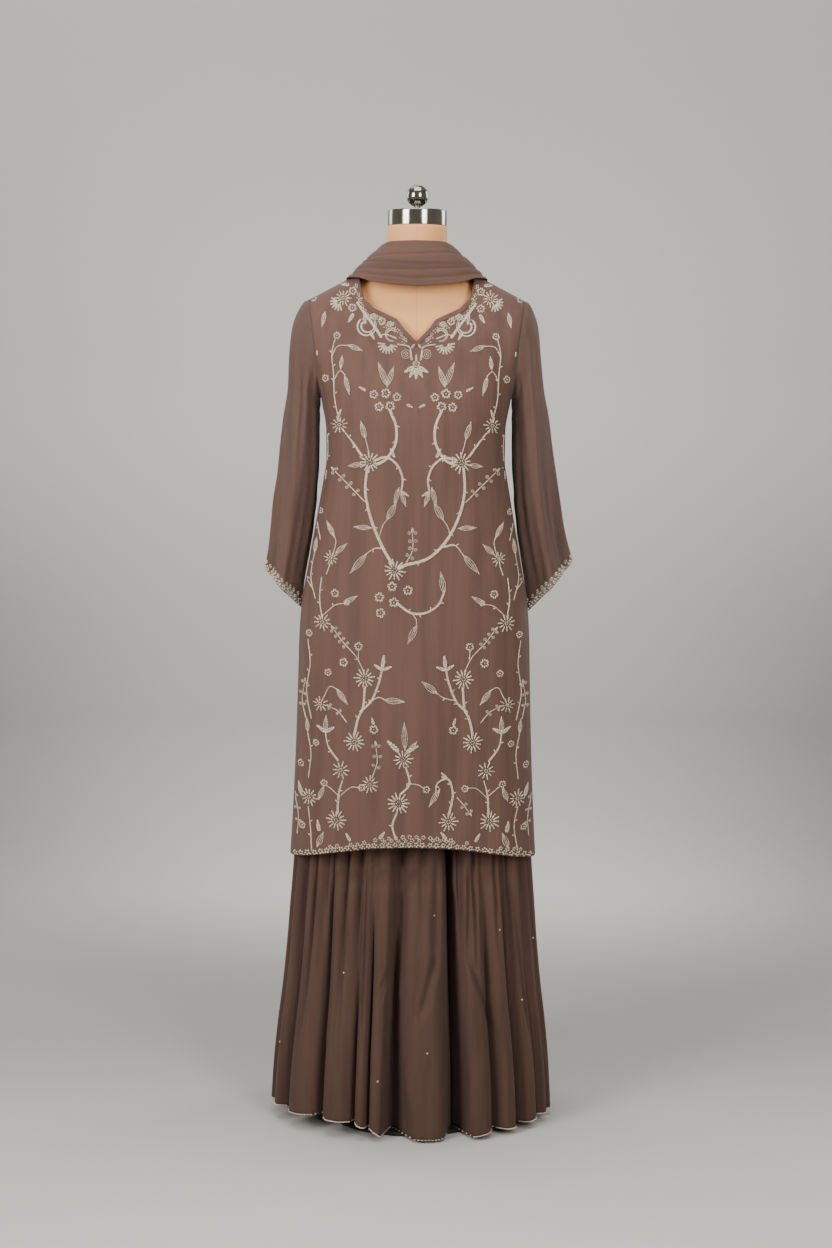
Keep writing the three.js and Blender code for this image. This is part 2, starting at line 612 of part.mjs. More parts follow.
function buildHardware() {
  const { radius, bottom, top, round } = CAP;
  addTurned('neck_cap', 'chrome', [[0, bottom], [radius - 1, bottom], [radius, bottom + 1],
    [radius, top - round], [radius - round, top], [0, top]], 36);
  const profile = [[0, top + SEAM], [STEM.foot, top + SEAM], [STEM.radius, top + SEAM + STEM.flare]];
  const neckAngle = Math.asin(STEM.radius / BALL.radius);
  const steps = 10;
  for (let i = 0; i < steps; i += 1) {
    const angle = neckAngle + (Math.PI - neckAngle) * i / steps;
    profile.push([BALL.radius * Math.sin(angle), BALL.centre - BALL.radius * Math.cos(angle)]);
  }
  profile.push([0, BALL.centre + BALL.radius]);
  addTurned('finial', 'chrome', profile, 22);
  addTurned('pole', 'steel', [[0, BASE.high + SEAM], [POLE_RADIUS, BASE.high + SEAM],
    [POLE_RADIUS, TORSO_BOTTOM - SEAM], [0, TORSO_BOTTOM - SEAM]], 16);
  addTurned('base', 'steel', [[0, 0], [BASE.radius, 0], [BASE.radius, BASE.high - 1],
    [BASE.radius - 1, BASE.high], [0, BASE.high]], 36);
}

// A point of a tail: share of its width from the inner edge, share of its length from the top
function tailPoint(across, down) {
  const topZ = mix(TAIL.topInnerZ, TAIL.topOuterZ, across);
  const z = mix(topZ, TAIL.hem, down);
  const inner = mix(TAIL.innerTop, TAIL.innerHem, down);
  const outer = mix(TAIL.outerTop, TAIL.outerHem, smooth(0, 1, down));
  const x = mix(inner, outer, across);
  const lift = TAIL.topLift * smooth(TAIL.liftFade, 0, topZ - z);
  const pleat = TAIL.pleatDeep * (0.5 - 0.5 * Math.cos(2 * Math.PI * TAIL.pleats * across)) * smooth(0, 0.3, down);
  const rise = Math.min(z, SHOULDER.tipZ + 20);
  return new THREE.Vector3(x, kurtaDepth(x, rise, 'back') + WALL + TAIL.clear + lift + pleat, z);
}

// A point of the scarf round the neck: along from the front centre, across from its upper edge
function scarfPoint(along, across) {
  const share = Math.abs(along);
  const edge = (end) => new THREE.Vector3(
    tableValue(SCARF, 'along', `${end}X`, share),
    tableValue(SCARF, 'along', `${end}Y`, share),
    tableValue(SCARF, 'along', `${end}Z`, share),
  );
  const up = edge('up');
  const low = edge('low');
  const point = up.clone().lerp(low, across);
  const folds = SCARF_FOLDS.reduce((sum, fold) => (
    sum + fold.deep * Math.exp(-(((across - fold.across - 0.04 * along) / fold.wide) ** 2))
  ), 0);
  const bulge = SCARF_BULGE * Math.sin(Math.PI * across) - folds * Math.sin(Math.PI * across) ** 0.5;
  const turn = Math.PI * share;
  const out = new THREE.Vector3(Math.sin(turn) * 0.5, -Math.cos(turn), 0.6 + 0.4 * Math.sin(turn));
  point.addScaledVector(out.normalize(), bulge);
  const join = smooth(0.8, 1, share);
  point.lerp(tailPoint(across, 0), join);
  point.x *= Math.sign(along);
  return point;
}

function buildScarf() {
  const half = 12;
  const across = Array.from({ length: 10 }, (_, i) => 1 - i / 9);
  const along = Array.from({ length: 2 * half + 1 }, (_, i) => (i - half) / half);
  const outer = across.map((w) => along.map((u) => scarfPoint(u, w)));
  const normals = gridNormals(outer, false);
  addWall('dupatta_neck', 'cloth', outer, moved(outer, normals, -WALL), false);
  const columns = 16;
  const rows = [1, 0.82, 0.64, 0.47, 0.32, 0.22, 0.155, 0.1, 0.05, 0.0012];
  [['dupatta_tail_left', -1], ['dupatta_tail_right', 1]].forEach(([name, side]) => {
    const tail = rows.map((down) => Array.from({ length: columns + 1 }, (_, i) => {
      const across = side > 0 ? 1 - i / columns : i / columns;
      const point = tailPoint(across, down);
      point.x *= side;
      return point;
    }));
    const out = gridNormals(tail, false);
    addWall(name, 'cloth', tail, moved(tail, out, -WALL), false);
  });
}

buildPanel('kurta_front', 'hem_border_front', 'front', -1);
buildPanel('kurta_back', 'hem_border_back', 'back', 1);
buildSleeve(1, SLEEVE_RIGHT, 'sleeve_right', 'cuff_border_right');
buildSleeve(-1, SLEEVE_LEFT, 'sleeve_left', 'cuff_border_left');
buildLeg('sharara_leg_right', FRONT_SPLIT, BACK_SPLIT, 1);
buildLeg('sharara_leg_left', BACK_SPLIT, LAST_SPLIT, -1);
buildHipRing('sharara_yoke', [CROTCH + SEAM, 760, 830, 900, WAIST.seam - SEAM]);
buildHipRing('sharara_waistband', [WAIST.seam, WAIST.top]);
buildScarf();
buildTorso();
buildHardware();

export default group;
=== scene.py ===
"""Sharara suit on a limbless dress form: the finish of every surface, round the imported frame."""
import math
import random

import bpy
from mathutils import Matrix, Vector


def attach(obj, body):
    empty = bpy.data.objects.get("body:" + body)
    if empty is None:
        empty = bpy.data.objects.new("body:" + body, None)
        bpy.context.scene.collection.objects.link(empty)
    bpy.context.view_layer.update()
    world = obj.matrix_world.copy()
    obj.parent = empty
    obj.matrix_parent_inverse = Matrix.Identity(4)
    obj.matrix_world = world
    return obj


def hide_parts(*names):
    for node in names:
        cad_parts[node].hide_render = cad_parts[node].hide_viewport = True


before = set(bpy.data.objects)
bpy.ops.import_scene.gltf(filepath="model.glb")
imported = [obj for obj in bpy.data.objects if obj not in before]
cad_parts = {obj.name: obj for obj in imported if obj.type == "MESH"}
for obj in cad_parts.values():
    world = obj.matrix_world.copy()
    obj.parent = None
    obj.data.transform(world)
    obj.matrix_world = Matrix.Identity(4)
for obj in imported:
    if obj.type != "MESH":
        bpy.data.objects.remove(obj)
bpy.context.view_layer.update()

DRAW = random.Random(7)


def rows_of(columns, *rows):
    """Table of rows whose columns are named once."""
    return [dict(zip(columns.split(), row)) for row in rows]


# Driving sizes in millimetres, as the garment is cut
MM = 0.001
SEAM = 0.3
SKIN = 0.7
UNDERARM = 1234
SHOULDER = {"neck_x": 97, "neck_z": 1441, "tip_x": 179, "tip_z": 1398}
ARMHOLE = {"bottom_x": 160, "front": 58, "back": 66}
HEM = {"front": 457, "front_rise": 35, "back": 452, "back_rise": 10, "half": 211}
SLIT = {"top": 840, "open": 7}
PLACE_WIDE = 50
SEQUINS = rows_of(
    "place above",
    (25.62, 372), (1.55, 336), (25.5, 146), (2.4, 210), (22.6, 250), (24.5, 90), (4.6, 300), (6.5, 150),
    (8.4, 360), (10.5, 240), (12.6, 120), (14.4, 330), (16.5, 200), (18.4, 380), (20.5, 110),
)
CUFF = {"turn": 350, "high": 15, "flowers": 27, "ring_high": 38}
SECTION_POWER = 2.4
SKIRT_POWER = 2.2
CROTCH = 690
NECK_TOP = 1519.7
CAP = {"radius": 49.5, "bottom": 1520, "top": 1546, "round": 2.5}
BALL = {"radius": 18.5, "centre": 1569.5}
STEM = {"radius": 5.5, "foot": 9, "flare": 4}

# Camera: place in metres, tilt and roll in degrees, and the frame that it is set for
CAMERA = {"x": 0.0027, "y": -3.6, "z": 1.25, "tilt": 6.33, "roll": 0.42}
FOCAL_PIXELS = 2122
FRAME_HIGH = 1248
SENSOR = 36

# Kurta body: half-width up to the underarm, front and back depth at each height
KURTA = rows_of(
    "z half front back",
    (440, 212, 141, 151),
    (546, 206, 138, 148),
    (650, 201.5, 135, 145),
    (760, 198, 132, 141),
    (833, 196, 130, 138),
    (892, 191.5, 128, 132),
    (938, 183.5, 127, 126),
    (984, 175.5, 126, 121),
    (1054, 163, 127, 116),
    (1096, 156, 129, 114),
    (1130, 151, 131, 113),
    (1180, 151.5, 131, 112),
    (1234, 160, 124, 114),
    (1290, 166, 106, 112),
    (1330, None, 93, 104),
    (1365, None, 76, 87),
    (1398, None, 60, 70),
    (1420, None, 53, 60),
    (1441, None, 50, 54),
    (1455, None, 50, 54),
)
NECKLINE = rows_of(
    "x front back",
    (0, 1326, 1424),
    (19, 1345, 1425),
    (33, 1363, 1426.5),
    (50, 1371, 1429),
    (71, 1381, 1433),
    (87, 1397, 1437.5),
    (97, 1441, 1441),
)

# Soft creases of the kurta: upper and lower end, depth inwards (a ridge is negative) and width
FRONT_CREASES = rows_of(
    "x1 z1 x2 z2 deep wide",
    (-62, 1120, -74, 500, 3.2, 17),
    (58, 1105, 66, 520, 3.0, 19),
    (-20, 960, -30, 480, 2.2, 14),
    (24, 1000, 16, 620, 1.8, 12),
    (-118, 1010, -134, 470, 3.6, 16),
    (112, 1030, 128, 470, 3.4, 18),
    (-96, 760, -104, 480, -2.4, 12),
    (94, 740, 98, 480, -2.2, 13),
    (-160, 900, -176, 480, 3.0, 13),
    (158, 880, 172, 480, 2.8, 12),
    (-148, 1215, -88, 1165, 2.6, 11),
    (148, 1213, 84, 1160, 2.4, 12),
    (-140, 1120, -102, 1078, 2.0, 10),
    (138, 1110, 100, 1066, 2.0, 11),
    (-160, 1350, -128, 1250, 1.8, 13),
    (158, 1345, 126, 1240, 1.8, 12),
)
BACK_CREASES = rows_of(
    "x1 z1 x2 z2 deep wide",
    (-24, 1250, -34, 500, 3.4, 18),
    (20, 1180, 26, 470, 3.0, 16),
    (-162, 1010, -178, 480, 3.0, 14),
    (164, 990, 180, 480, 3.2, 15),
    (-100, 900, -112, 470, 3.0, 17),
    (98, 860, 108, 480, 2.6, 16),
    (-150, 1210, -112, 1140, 2.2, 11),
    (150, 1212, 110, 1130, 2.2, 12),
)

# Sleeve rings: outer and inner point seen from the front, half depth and centre front to back
SLEEVES = {
    "right": rows_of(
        "out_x out_z in_x in_z deep mid_y",
        (179.4, 1398, 160.4, 1234, 62.3, 4),
        (187.5, 1394, 161.3, 1231, 62, 4),
        (196.5, 1379, 161.2, 1226, 62, 5),
        (205, 1352, 161.5, 1219, 61, 6),
        (210.5, 1302, 161.8, 1208, 60, 8),
        (216, 1250, 162, 1188, 59, 10),
        (225, 1200, 162.3, 1160, 58, 13),
        (230, 1155, 163, 1120, 57, 17),
        (237, 1105, 164.5, 1074, 56, 22),
        (243.5, 1060, 169.5, 1026, 56, 27),
        (250, 1018, 179, 975, 56, 32),
        (257.5, 986, 188.5, 925, 57, 36),
        (267, 955, 196.5, 876, 59, 39),
    ),
    "left": rows_of(
        "out_x out_z in_x in_z deep mid_y",
        (179.4, 1398, 160.4, 1234, 62.3, 4),
        (188, 1394, 161.3, 1231, 62, 4),
        (198.5, 1379, 161.2, 1226, 62, 5),
        (209, 1352, 161.6, 1219, 61, 6),
        (215, 1302, 162, 1208, 60, 8),
        (217, 1250, 162.3, 1188, 59, 10),
        (224, 1200, 162.6, 1160, 58, 13),
        (228.5, 1155, 163, 1120, 57, 17),
        (232.5, 1105, 164.5, 1074, 56, 22),
        (239, 1060, 169.5, 1028, 56, 27),
        (243, 1018, 179, 978, 56, 32),
        (247.5, 978, 188.5, 929, 57, 36),
        (254, 940, 195.5, 879, 58, 39),
    ),
}
SLEEVE_FOLDS = {"count": 5, "deep": 6.5}

# Sharara outline at each height, ridge to ridge
SHARARA = rows_of(
    "z half front back",
    (0, 245, 184, 190),
    (84, 240, 177, 183),
    (156, 233, 169, 176),
    (228, 224, 161, 169),
    (299, 217, 153, 161),
    (370, 211.5, 145, 153),
    (440, 206, 137, 147),
    (546, 200, 131, 141),
    (615, 196, 128, 136),
    (690, 190, 124, 131),
    (760, 185, 121, 130),
)

# Grooves between the folds, from the front split round by the right: angles at the crotch and at the hem,
# depth at the hem and height of the hem there
GROOVES = rows_of(
    "top hem deep lift",
    (17.0, 17.8, 38, 4),
    (33, 36, 22, 10),
    (46, 50, 28, 11),
    (60, 65, 12, 15),
    (73, 77, 20, 12),
    (86, 86, 15, 10),
    (100, 100, 26, 13),
    (114, 113, 20, 16),
    (127, 127, 30, 13),
    (141, 140, 22, 15),
    (154, 153, 28, 12),
    (166, 166, 18, 14),
    (176, 176.5, 36, 12),
    (188, 188, 24, 15),
    (201, 202, 18, 13),
    (215, 214, 30, 12),
    (229, 228, 20, 16),
    (242, 243, 27, 14),
    (257, 257, 22, 17),
    (270, 270, 14, 20),
    (283, 280, 20, 23),
    (298, 294, 20, 24),
    (319, 320, 20, 28),
    (336.6, 338.2, 14, 27),
    (344, 344.1, 10, 20),
    (355, 352.6, 34, 5),
    (377.0, 377.8, 38, 4),
)
FRONT_SPLIT = 0
BACK_SPLIT = 12
LAST_SPLIT = 26
LEG_GAP = 2

# Narrow slots at the bottom of the grooves, in the grooves' order: depth, upper end and narrowness
SLOTS = rows_of(
    "deep top open",
    (34, 760, 1.7), (12, 420, 5), (22, 420, 4), (10, 480, 5), (20, 300, 5), (10, 260, 6), (26, 520, 4),
    (14, 360, 6), (32, 560, 4), (16, 340, 5), (26, 480, 4), (12, 300, 6), (44, 700, 3), (20, 420, 5),
    (12, 280, 6), (30, 500, 4), (14, 340, 6), (26, 460, 4), (16, 380, 5), (8, 240, 6), (24, 440, 4),
    (30, 560, 4), (26, 520, 4), (14, 330, 5), (16, 420, 4), (30, 430, 1.5), (34, 760, 2.2),
)

# Soft drag lines on the legs: ends as groove places and heights, depth and width
SKIRT_CREASES = rows_of(
    "p1 z1 p2 z2 deep wide",
    (25.68, 450, 25.62, 290, 9, 0.07),
    (25.62, 300, 25.4, 205, 8, 0.06),
    (0.4, 300, 1.1, 175, 8, 0.08),
    (0.5, 440, 0.38, 300, 9, 0.09),
    (24.95, 300, 24.4, 250, 5, 0.07),
    (24.9, 285, 24.5, 240, 4, 0.06),
    (23.5, 450, 23.4, 160, 5, 0.1),
    (22.4, 460, 22.5, 60, 5, 0.1),
    (21.5, 450, 21.4, 100, 6, 0.12),
    (2.5, 450, 2.6, 150, 6, 0.1),
    (4.6, 460, 4.4, 90, 7, 0.12),
    (10.4, 430, 10.7, 180, 6, 0.1),
    (13.5, 450, 13.3, 120, 6, 0.1),
    (17.5, 440, 17.6, 150, 6, 0.1),
)

# Small gathers that fade below the kurta's hem: angle, depth, half-width in degrees, lower end
GATHERS = rows_of(
    "angle deep wide fade",
    (-66, 14, 2.2, 240), (-53, 16, 1.6, 180), (-45, 12, 1.4, 300), (-31, 18, 1.5, 200),
    (-23.5, 12, 1.4, 250), (-4, 16, 1.4, 150), (3.6, 10, 1.3, 300), (15, 12, 1.3, 320),
    (21, 16, 1.3, 230), (28.5, 14, 1.4, 280), (41, 10, 1.5, 330), (52.5, 16, 1.7, 200),
    (66, 12, 1.9, 240), (79, 14, 2.2, 260), (107, 14, 2.2, 240), (121, 16, 2.0, 200),
    (134, 14, 1.9, 290), (148, 16, 1.8, 230), (160, 10, 1.6, 300), (182, 16, 1.7, 220),
    (195, 14, 1.8, 260), (208, 16, 1.9, 210), (222, 14, 2.0, 280), (236, 16, 2.1, 230),
    (250, 14, 2.3, 250), (280, 14, 2.4, 240),
)

# Dress form: half-width, front and back depth at each height
FORM = rows_of(
    "z half front back",
    (705, 160, 100, 104),
    (716, 168, 107, 112),
    (770, 173, 112, 119),
    (820, 174, 112, 122),
    (900, 160, 106, 108),
    (985, 131.2, 94.3, 87.3),
    (1011, 125, 91.5, 82),
    (1030, 122, 91, 80),
    (1090, 128, 99, 84),
    (1150, 138, 119, 93),
    (1190, 143, 127.6, 97),
    (1240, 147, 115, 100),
    (1290, 153, 92, 100),
    (1330, 159, 80, 94),
    (1365, 163, 64, 77),
    (1385, 158, 50, 60),
    (1400, 145, 41, 52),
    (1415, 119, 35, 46),
    (1428, 93, 34, 44),
    (1440, 72, 38, 45),
    (1452, 61, 45, 48),
    (1466, 53, 48, 49),
    (1482, 50.5, 49.5, 50),
    (1500, 50, 50, 50),
    (1519.7, 50, 50, 50),
)

# Scarf round the neck, from the front centre to the back: its upper and its lower edge
SCARF = rows_of(
    "along up_x up_y up_z low_x low_y low_z",
    (0, 0, -56, 1493, 0, -67, 1418),
    (0.2, 31, -49, 1492, 48, -62, 1424),
    (0.38, 52, -30, 1488, 92, -42, 1433),
    (0.55, 61, -4, 1484, 117, -6, 1433),
    (0.7, 61, 22, 1478, 119, 26, 1431),
    (0.86, 54, 48, 1466, 113, 54, 1418),
    (1, 46, 66, 1446, 106, 72, 1396),
)
SCARF_FOLDS = rows_of(
    "across deep wide slant bow",
    (0.16, 1.2, 0.05, 0.1, 0.1),
    (0.33, 2.2, 0.035, -0.12, 0.14),
    (0.56, 1.3, 0.03, 0.1, 0.2),
    (0.68, 2.2, 0.03, -0.06, 0.22),
    (0.84, 3.8, 0.035, 0.02, 0.1),
    (0.93, 1.2, 0.02, -0.02, 0.02),
)
SCARF_TURN = 0.12
SCARF_BULGE = {"front": 7, "side": 1.5, "from": 0.15, "to": 0.5}
TAIL = {
    "inner_top": 46, "inner_hem": 40, "outer_top": 106, "outer_hem": 150, "hem": 520,
    "top_inner_z": 1445, "top_outer_z": 1395, "clear": 3.6, "pleats": 4, "pleat_deep": 7,
    "top_lift": 7, "lift_fade": 110,
}
CAD_WALL = 1.6


def table_value(rows, key, column, at):
    """Smooth value of one column of a table, straight past its ends."""
    last = len(rows) - 1
    i = 0
    while i < last - 1 and at > rows[i + 1][key]:
        i += 1

    def slope(a, b):
        return (rows[b][column] - rows[a][column]) / (rows[b][key] - rows[a][key])

    here = slope(i, i + 1)

    def tangent(j):
        if j <= 0 or j >= last:
            return here
        before, after = slope(j - 1, j), slope(j, j + 1)
        return 0 if before * after <= 0 else 2 * before * after / (before + after)

    low, high = rows[i], rows[i + 1]
    span = high[key] - low[key]
    t = (at - low[key]) / span
    if t <= 0:
        return low[column] + tangent(i) * (at - low[key])
    if t >= 1:
        return high[column] + tangent(i + 1) * (at - high[key])
    h = t * t * (3 - 2 * t)
    curve = t * (1 - t) * (1 - t) * tangent(i) - t * t * (1 - t) * tangent(i + 1)
    return low[column] * (1 - h) + high[column] * h + span * curve


def mix(a, b, t):
    return a + (b - a) * t


def smooth(start, end, value):
    t = min(1, max(0, (value - start) / (end - start)))
    return t * t * (3 - 2 * t)


def signed_power(value, power):
    return math.copysign(abs(value) ** power, value)


def steps(count, start=0.0, end=1.0):
    return [mix(start, end, i / count) for i in range(count + 1)]


def full_turn(count):
    """Angles all round, in radians."""
    return [2 * math.pi * i / count for i in range(count)]


def circle(radius, z, sides):
    return [(radius * math.cos(a), radius * math.sin(a), z) for a in full_turn(sides)]


def crease_depth(creases, x, z):
    """Depth of the soft creases at a place on a panel."""
    total = 0
    for c in creases:
        dx, dz = c["x2"] - c["x1"], c["z2"] - c["z1"]
        length = math.hypot(dx, dz)
        along = ((x - c["x1"]) * dx + (z - c["z1"]) * dz) / length
        reach = 3 * c["wide"]
        if -reach < along < length + reach:
            away = ((x - c["x1"]) * dz - (z - c["z1"]) * dx) / length
            if abs(away) < reach:
                ends = smooth(-c["wide"], c["wide"] * 4, along)
                ends *= 1 - smooth(length - c["wide"] * 3, length + c["wide"], along)
                total += c["deep"] * ends * math.exp(-(away / c["wide"]) ** 2)
    return total


def armhole_x(z):
    rise = (z - UNDERARM) / (SHOULDER["tip_z"] - UNDERARM)
    return mix(ARMHOLE["bottom_x"], SHOULDER["tip_x"], rise)


def armhole_y(z, side):
    half_high = (SHOULDER["tip_z"] - UNDERARM) / 2
    t = (z - UNDERARM - half_high) / half_high
    return ARMHOLE[side] * math.sqrt(max(0, 1 - t * t))


def panel_edge(z):
    if z <= UNDERARM:
        return table_value(KURTA, "z", "half", z)
    if z <= SHOULDER["tip_z"]:
        return armhole_x(z)
    rise = (z - SHOULDER["tip_z"]) / (SHOULDER["neck_z"] - SHOULDER["tip_z"])
    return mix(SHOULDER["tip_x"], SHOULDER["neck_x"], rise)


def kurta_half(z, side):
    if z <= UNDERARM or z >= SHOULDER["tip_z"]:
        return panel_edge(z)
    depth = table_value(KURTA, "z", side, z)
    rim = armhole_y(z, side)
    return armhole_x(z) / (1 - (rim / depth) ** SECTION_POWER) ** (1 / SECTION_POWER)


def kurta_depth(x, z, side, creased=True):
    """Distance of the kurta's surface from the middle plane."""
    depth = table_value(KURTA, "z", side, z)
    share = min(1, abs(x) / kurta_half(z, side))
    drape = 2.5 * math.sin(abs(x) / 21 + 0.6) * smooth(1000, 500, z) * (1 - share ** 4)
    creases = 0
    if creased:
        table = FRONT_CREASES if side == "front" else BACK_CREASES
        creases = crease_depth(table, x, z) * (1 - share ** 6)
    return depth * (1 - share ** SECTION_POWER) ** (1 / SECTION_POWER) + drape - creases


def panel_top(x, side):
    if x <= SHOULDER["neck_x"]:
        return table_value(NECKLINE, "x", side, x)
    rise = (x - SHOULDER["neck_x"]) / (SHOULDER["tip_x"] - SHOULDER["neck_x"])
    return mix(SHOULDER["neck_z"], SHOULDER["tip_z"], rise)


def panel_hem(x, side):
    share = min(1, abs(x) / HEM["half"])
    return HEM[side] + HEM[side + "_rise"] * (1 - share * share)


def panel_place(angle, top_x, share, side):
    """Distance from the centre and height of a panel's point."""
    low_share = math.sin(math.radians(angle)) ** (2 / SECTION_POWER)
    top = panel_top(top_x, side)
    z = mix(panel_hem(low_share * HEM["half"], side), top, share)
    fade = smooth(1020, 1250, z)
    reach = panel_edge(z) if z < SHOULDER["tip_z"] else SHOULDER["tip_x"]
    if angle >= 90:
        return panel_edge(z), z
    return reach * mix(low_share, top_x / SHOULDER["tip_x"], fade), z


def panel_vertex(column, share, side, facing):
    sign, angle, top_x = column
    x, z = panel_place(angle, top_x, share, side)
    y = kurta_depth(sign * x, z, side)
    if angle >= 90 and (z <= UNDERARM or share >= 1):
        y = 0
    slit = SLIT["open"] * smooth(SLIT["top"], HEM["front"], z)
    return Vector((sign * x, facing * max(y, SEAM / 2 + slit), z))


def make_mesh(name, points, faces):
    mesh = bpy.data.meshes.new(name)
    mesh.from_pydata([(p[0] * MM, p[1] * MM, p[2] * MM) for p in points], [], faces)
    mesh.validate()
    mesh.update()
    mesh.polygons.foreach_set("use_smooth", [True] * len(mesh.polygons))
    piece = bpy.data.objects.new(name, mesh)
    bpy.context.scene.collection.objects.link(piece)
    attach(piece, "root")
    return piece


def grid_faces(count, width, closed=True, flip=False):
    """Four-sided faces between rows of points that are all of one width."""
    faces = []
    for r in range(count - 1):
        for c in range(width if closed else width - 1):
            d = (c + 1) % width
            face = (r * width + c, r * width + d, (r + 1) * width + d, (r + 1) * width + c)
            faces.append(face[::-1] if flip else face)
    return faces


def make_sheet(name, rows, closed=False, flip=False):
    """A thin shell on a grid of points, thickened inwards."""
    points = [p for row in rows for p in row]
    piece = make_mesh(name, points, grid_faces(len(rows), len(rows[0]), closed, flip))
    wall = piece.modifiers.new("skin", "SOLIDIFY")
    wall.thickness = SKIN * MM
    wall.offset = -1
    return piece


PANEL_COLUMN_ANGLES = steps(40, 0, 90)
TOP_X = rows_of(
    "angle x",
    (0, 0), (8, 19), (15, 33), (23, 50), (31, 71), (40, 87), (48, 97), (56, 113), (65, 131), (74, 150),
    (82, 167), (90, 179),
)
PANEL_ROWS = 170


def panel_columns():
    half = [(a, min(SHOULDER["tip_x"], table_value(TOP_X, "angle", "x", a)))
            for a in PANEL_COLUMN_ANGLES]
    return [(-1, a, x) for a, x in half[:0:-1]] + [(1, a, x) for a, x in half]


def build_panel(name, side, facing):
    columns = panel_columns()
    rows = [[panel_vertex(c, s, side, facing) for c in columns] for s in steps(PANEL_ROWS)]
    return make_sheet(name, rows, flip=facing > 0)


def sleeve_ring(table, at):
    i = min(len(table) - 2, int(at))
    indexed = [dict(row, i=k) for k, row in enumerate(table[max(0, i - 2):i + 4], max(0, i - 2))]
    return {key: table_value(indexed, "i", key, at) for key in table[0]}


SLEEVE_WRINKLES = rows_of(
    "turns deep phase twist",
    (11, 1.5, 0.3, 0.35),
    (17, 0.7, 1.9, -0.5),
    (3, 1.6, 2.2, 0.4),
)
SLEEVE_CREASES = rows_of(
    "row angle deep high wide",
    (3.6, 200, 3.0, 0.5, 55),
    (5.2, 225, 2.6, 0.45, 45),
    (7.9, 190, 3.2, 0.5, 60),
    (8.9, 215, 2.6, 0.4, 50),
)


def sleeve_vertex(side, at, angle):
    table = SLEEVES[side]
    ring = sleeve_ring(table, at)
    grow = smooth(3, len(table) - 1, at)
    ripple = SLEEVE_FOLDS["deep"] * grow * math.cos(SLEEVE_FOLDS["count"] * angle + 0.9)
    for w in SLEEVE_WRINKLES:
        ripple += w["deep"] * smooth(0, 4, at) * math.cos(w["turns"] * angle + w["phase"] + w["twist"] * at)
    for c in SLEEVE_CREASES:
        turn = (math.degrees(angle) - c["angle"] + 540) % 360 - 180
        ripple -= c["deep"] * math.exp(-((at - c["row"]) / c["high"]) ** 2 - (turn / c["wide"]) ** 2)
    fold = 1 + ripple / ring["deep"]
    across = math.cos(angle) * fold
    x = (ring["out_x"] + ring["in_x"]) / 2 + (ring["out_x"] - ring["in_x"]) / 2 * across
    z = (ring["out_z"] + ring["in_z"]) / 2 + (ring["out_z"] - ring["in_z"]) / 2 * across
    sign = 1 if side == "right" else -1
    return Vector((sign * x, ring["mid_y"] + ring["deep"] * math.sin(angle) * fold, z))


def build_sleeve(side):
    sign = 1 if side == "right" else -1
    last = len(SLEEVES[side]) - 1
    turns = [sign * a for a in full_turn(96)]
    rows = [[sleeve_vertex(side, at, a) for a in turns] for at in steps(120, last, 0)]
    return make_sheet("sleeve_" + side + "_cloth", rows, closed=True)


UNDER_HEM = {"inset": 34, "from": 408, "to": 466}


def skirt_creases(place, z):
    """Depth of the drag lines at a place on a leg."""
    total = 0
    for c in SKIRT_CREASES:
        along = (c["z1"] - z) / (c["z1"] - c["z2"])
        if -0.2 < along < 1.2:
            away = place - mix(c["p1"], c["p2"], along)
            if abs(away) < 3 * c["wide"]:
                ends = smooth(-0.2, 0.15, along) * (1 - smooth(0.7, 1.2, along))
                total += c["deep"] * ends * math.exp(-(away / c["wide"]) ** 2)
    return total


def sharara_vertex(place, z):
    """A point of the sharara's outside: place among the grooves, and height."""
    i = min(len(GROOVES) - 2, max(0, math.floor(place)))
    part = place - i
    low, high = GROOVES[i], GROOVES[i + 1]
    drop = smooth(CROTCH + 60, 0, z)
    start = mix(low["top"], low["hem"], drop)
    degrees = mix(start, mix(high["top"], high["hem"], drop), part)
    near = low if part < 0.5 else high
    away = min(part, 1 - part) * 2
    reach = CROTCH + 40
    growth = 0 if z > reach else mix(0.1, 1, ((reach - z) / reach) ** 0.85)
    inward = near["deep"] * growth * (0.5 + 0.5 * math.cos(math.pi * away)) ** 1.8
    for g in GATHERS:
        turn = abs((degrees - g["angle"] + 180) % 360 - 180)
        if turn < 3 * g["wide"] and z > g["fade"] - 60:
            inward += g["deep"] * math.exp(-(turn / g["wide"]) ** 2) * smooth(g["fade"] - 60, 470, z)
    slot = SLOTS[i if part < 0.5 else i + 1]
    narrow = mix(7, slot["open"], smooth(slot["top"], 0, z))
    inward += slot["deep"] * smooth(slot["top"], slot["top"] - 190, z) * max(0, 1 - narrow * away) ** 0.6
    inward += skirt_creases(place, z)
    angle = math.radians(degrees)
    side = "front" if math.cos(angle) > 0 else "back"
    under = UNDER_HEM["inset"] * smooth(UNDER_HEM["from"], UNDER_HEM["to"], z)
    half = table_value(SHARARA, "z", "half", z) - inward * abs(math.sin(angle)) ** 0.5
    depth = table_value(SHARARA, "z", side, z) - inward - under * abs(math.cos(angle))
    power = 2 / SKIRT_POWER
    return Vector((half * signed_power(math.sin(angle), power),
                   -depth * signed_power(math.cos(angle), power), z))


def hem_height(place):
    i = min(len(GROOVES) - 2, math.floor(place))
    return mix(GROOVES[i]["lift"], GROOVES[i + 1]["lift"], smooth(0, 1, place - i))


LEG_COLUMNS_PER_FOLD = 28
LEG_ROW_COUNT = 90
INNER_STEPS = 20
LEG_TOP = 660


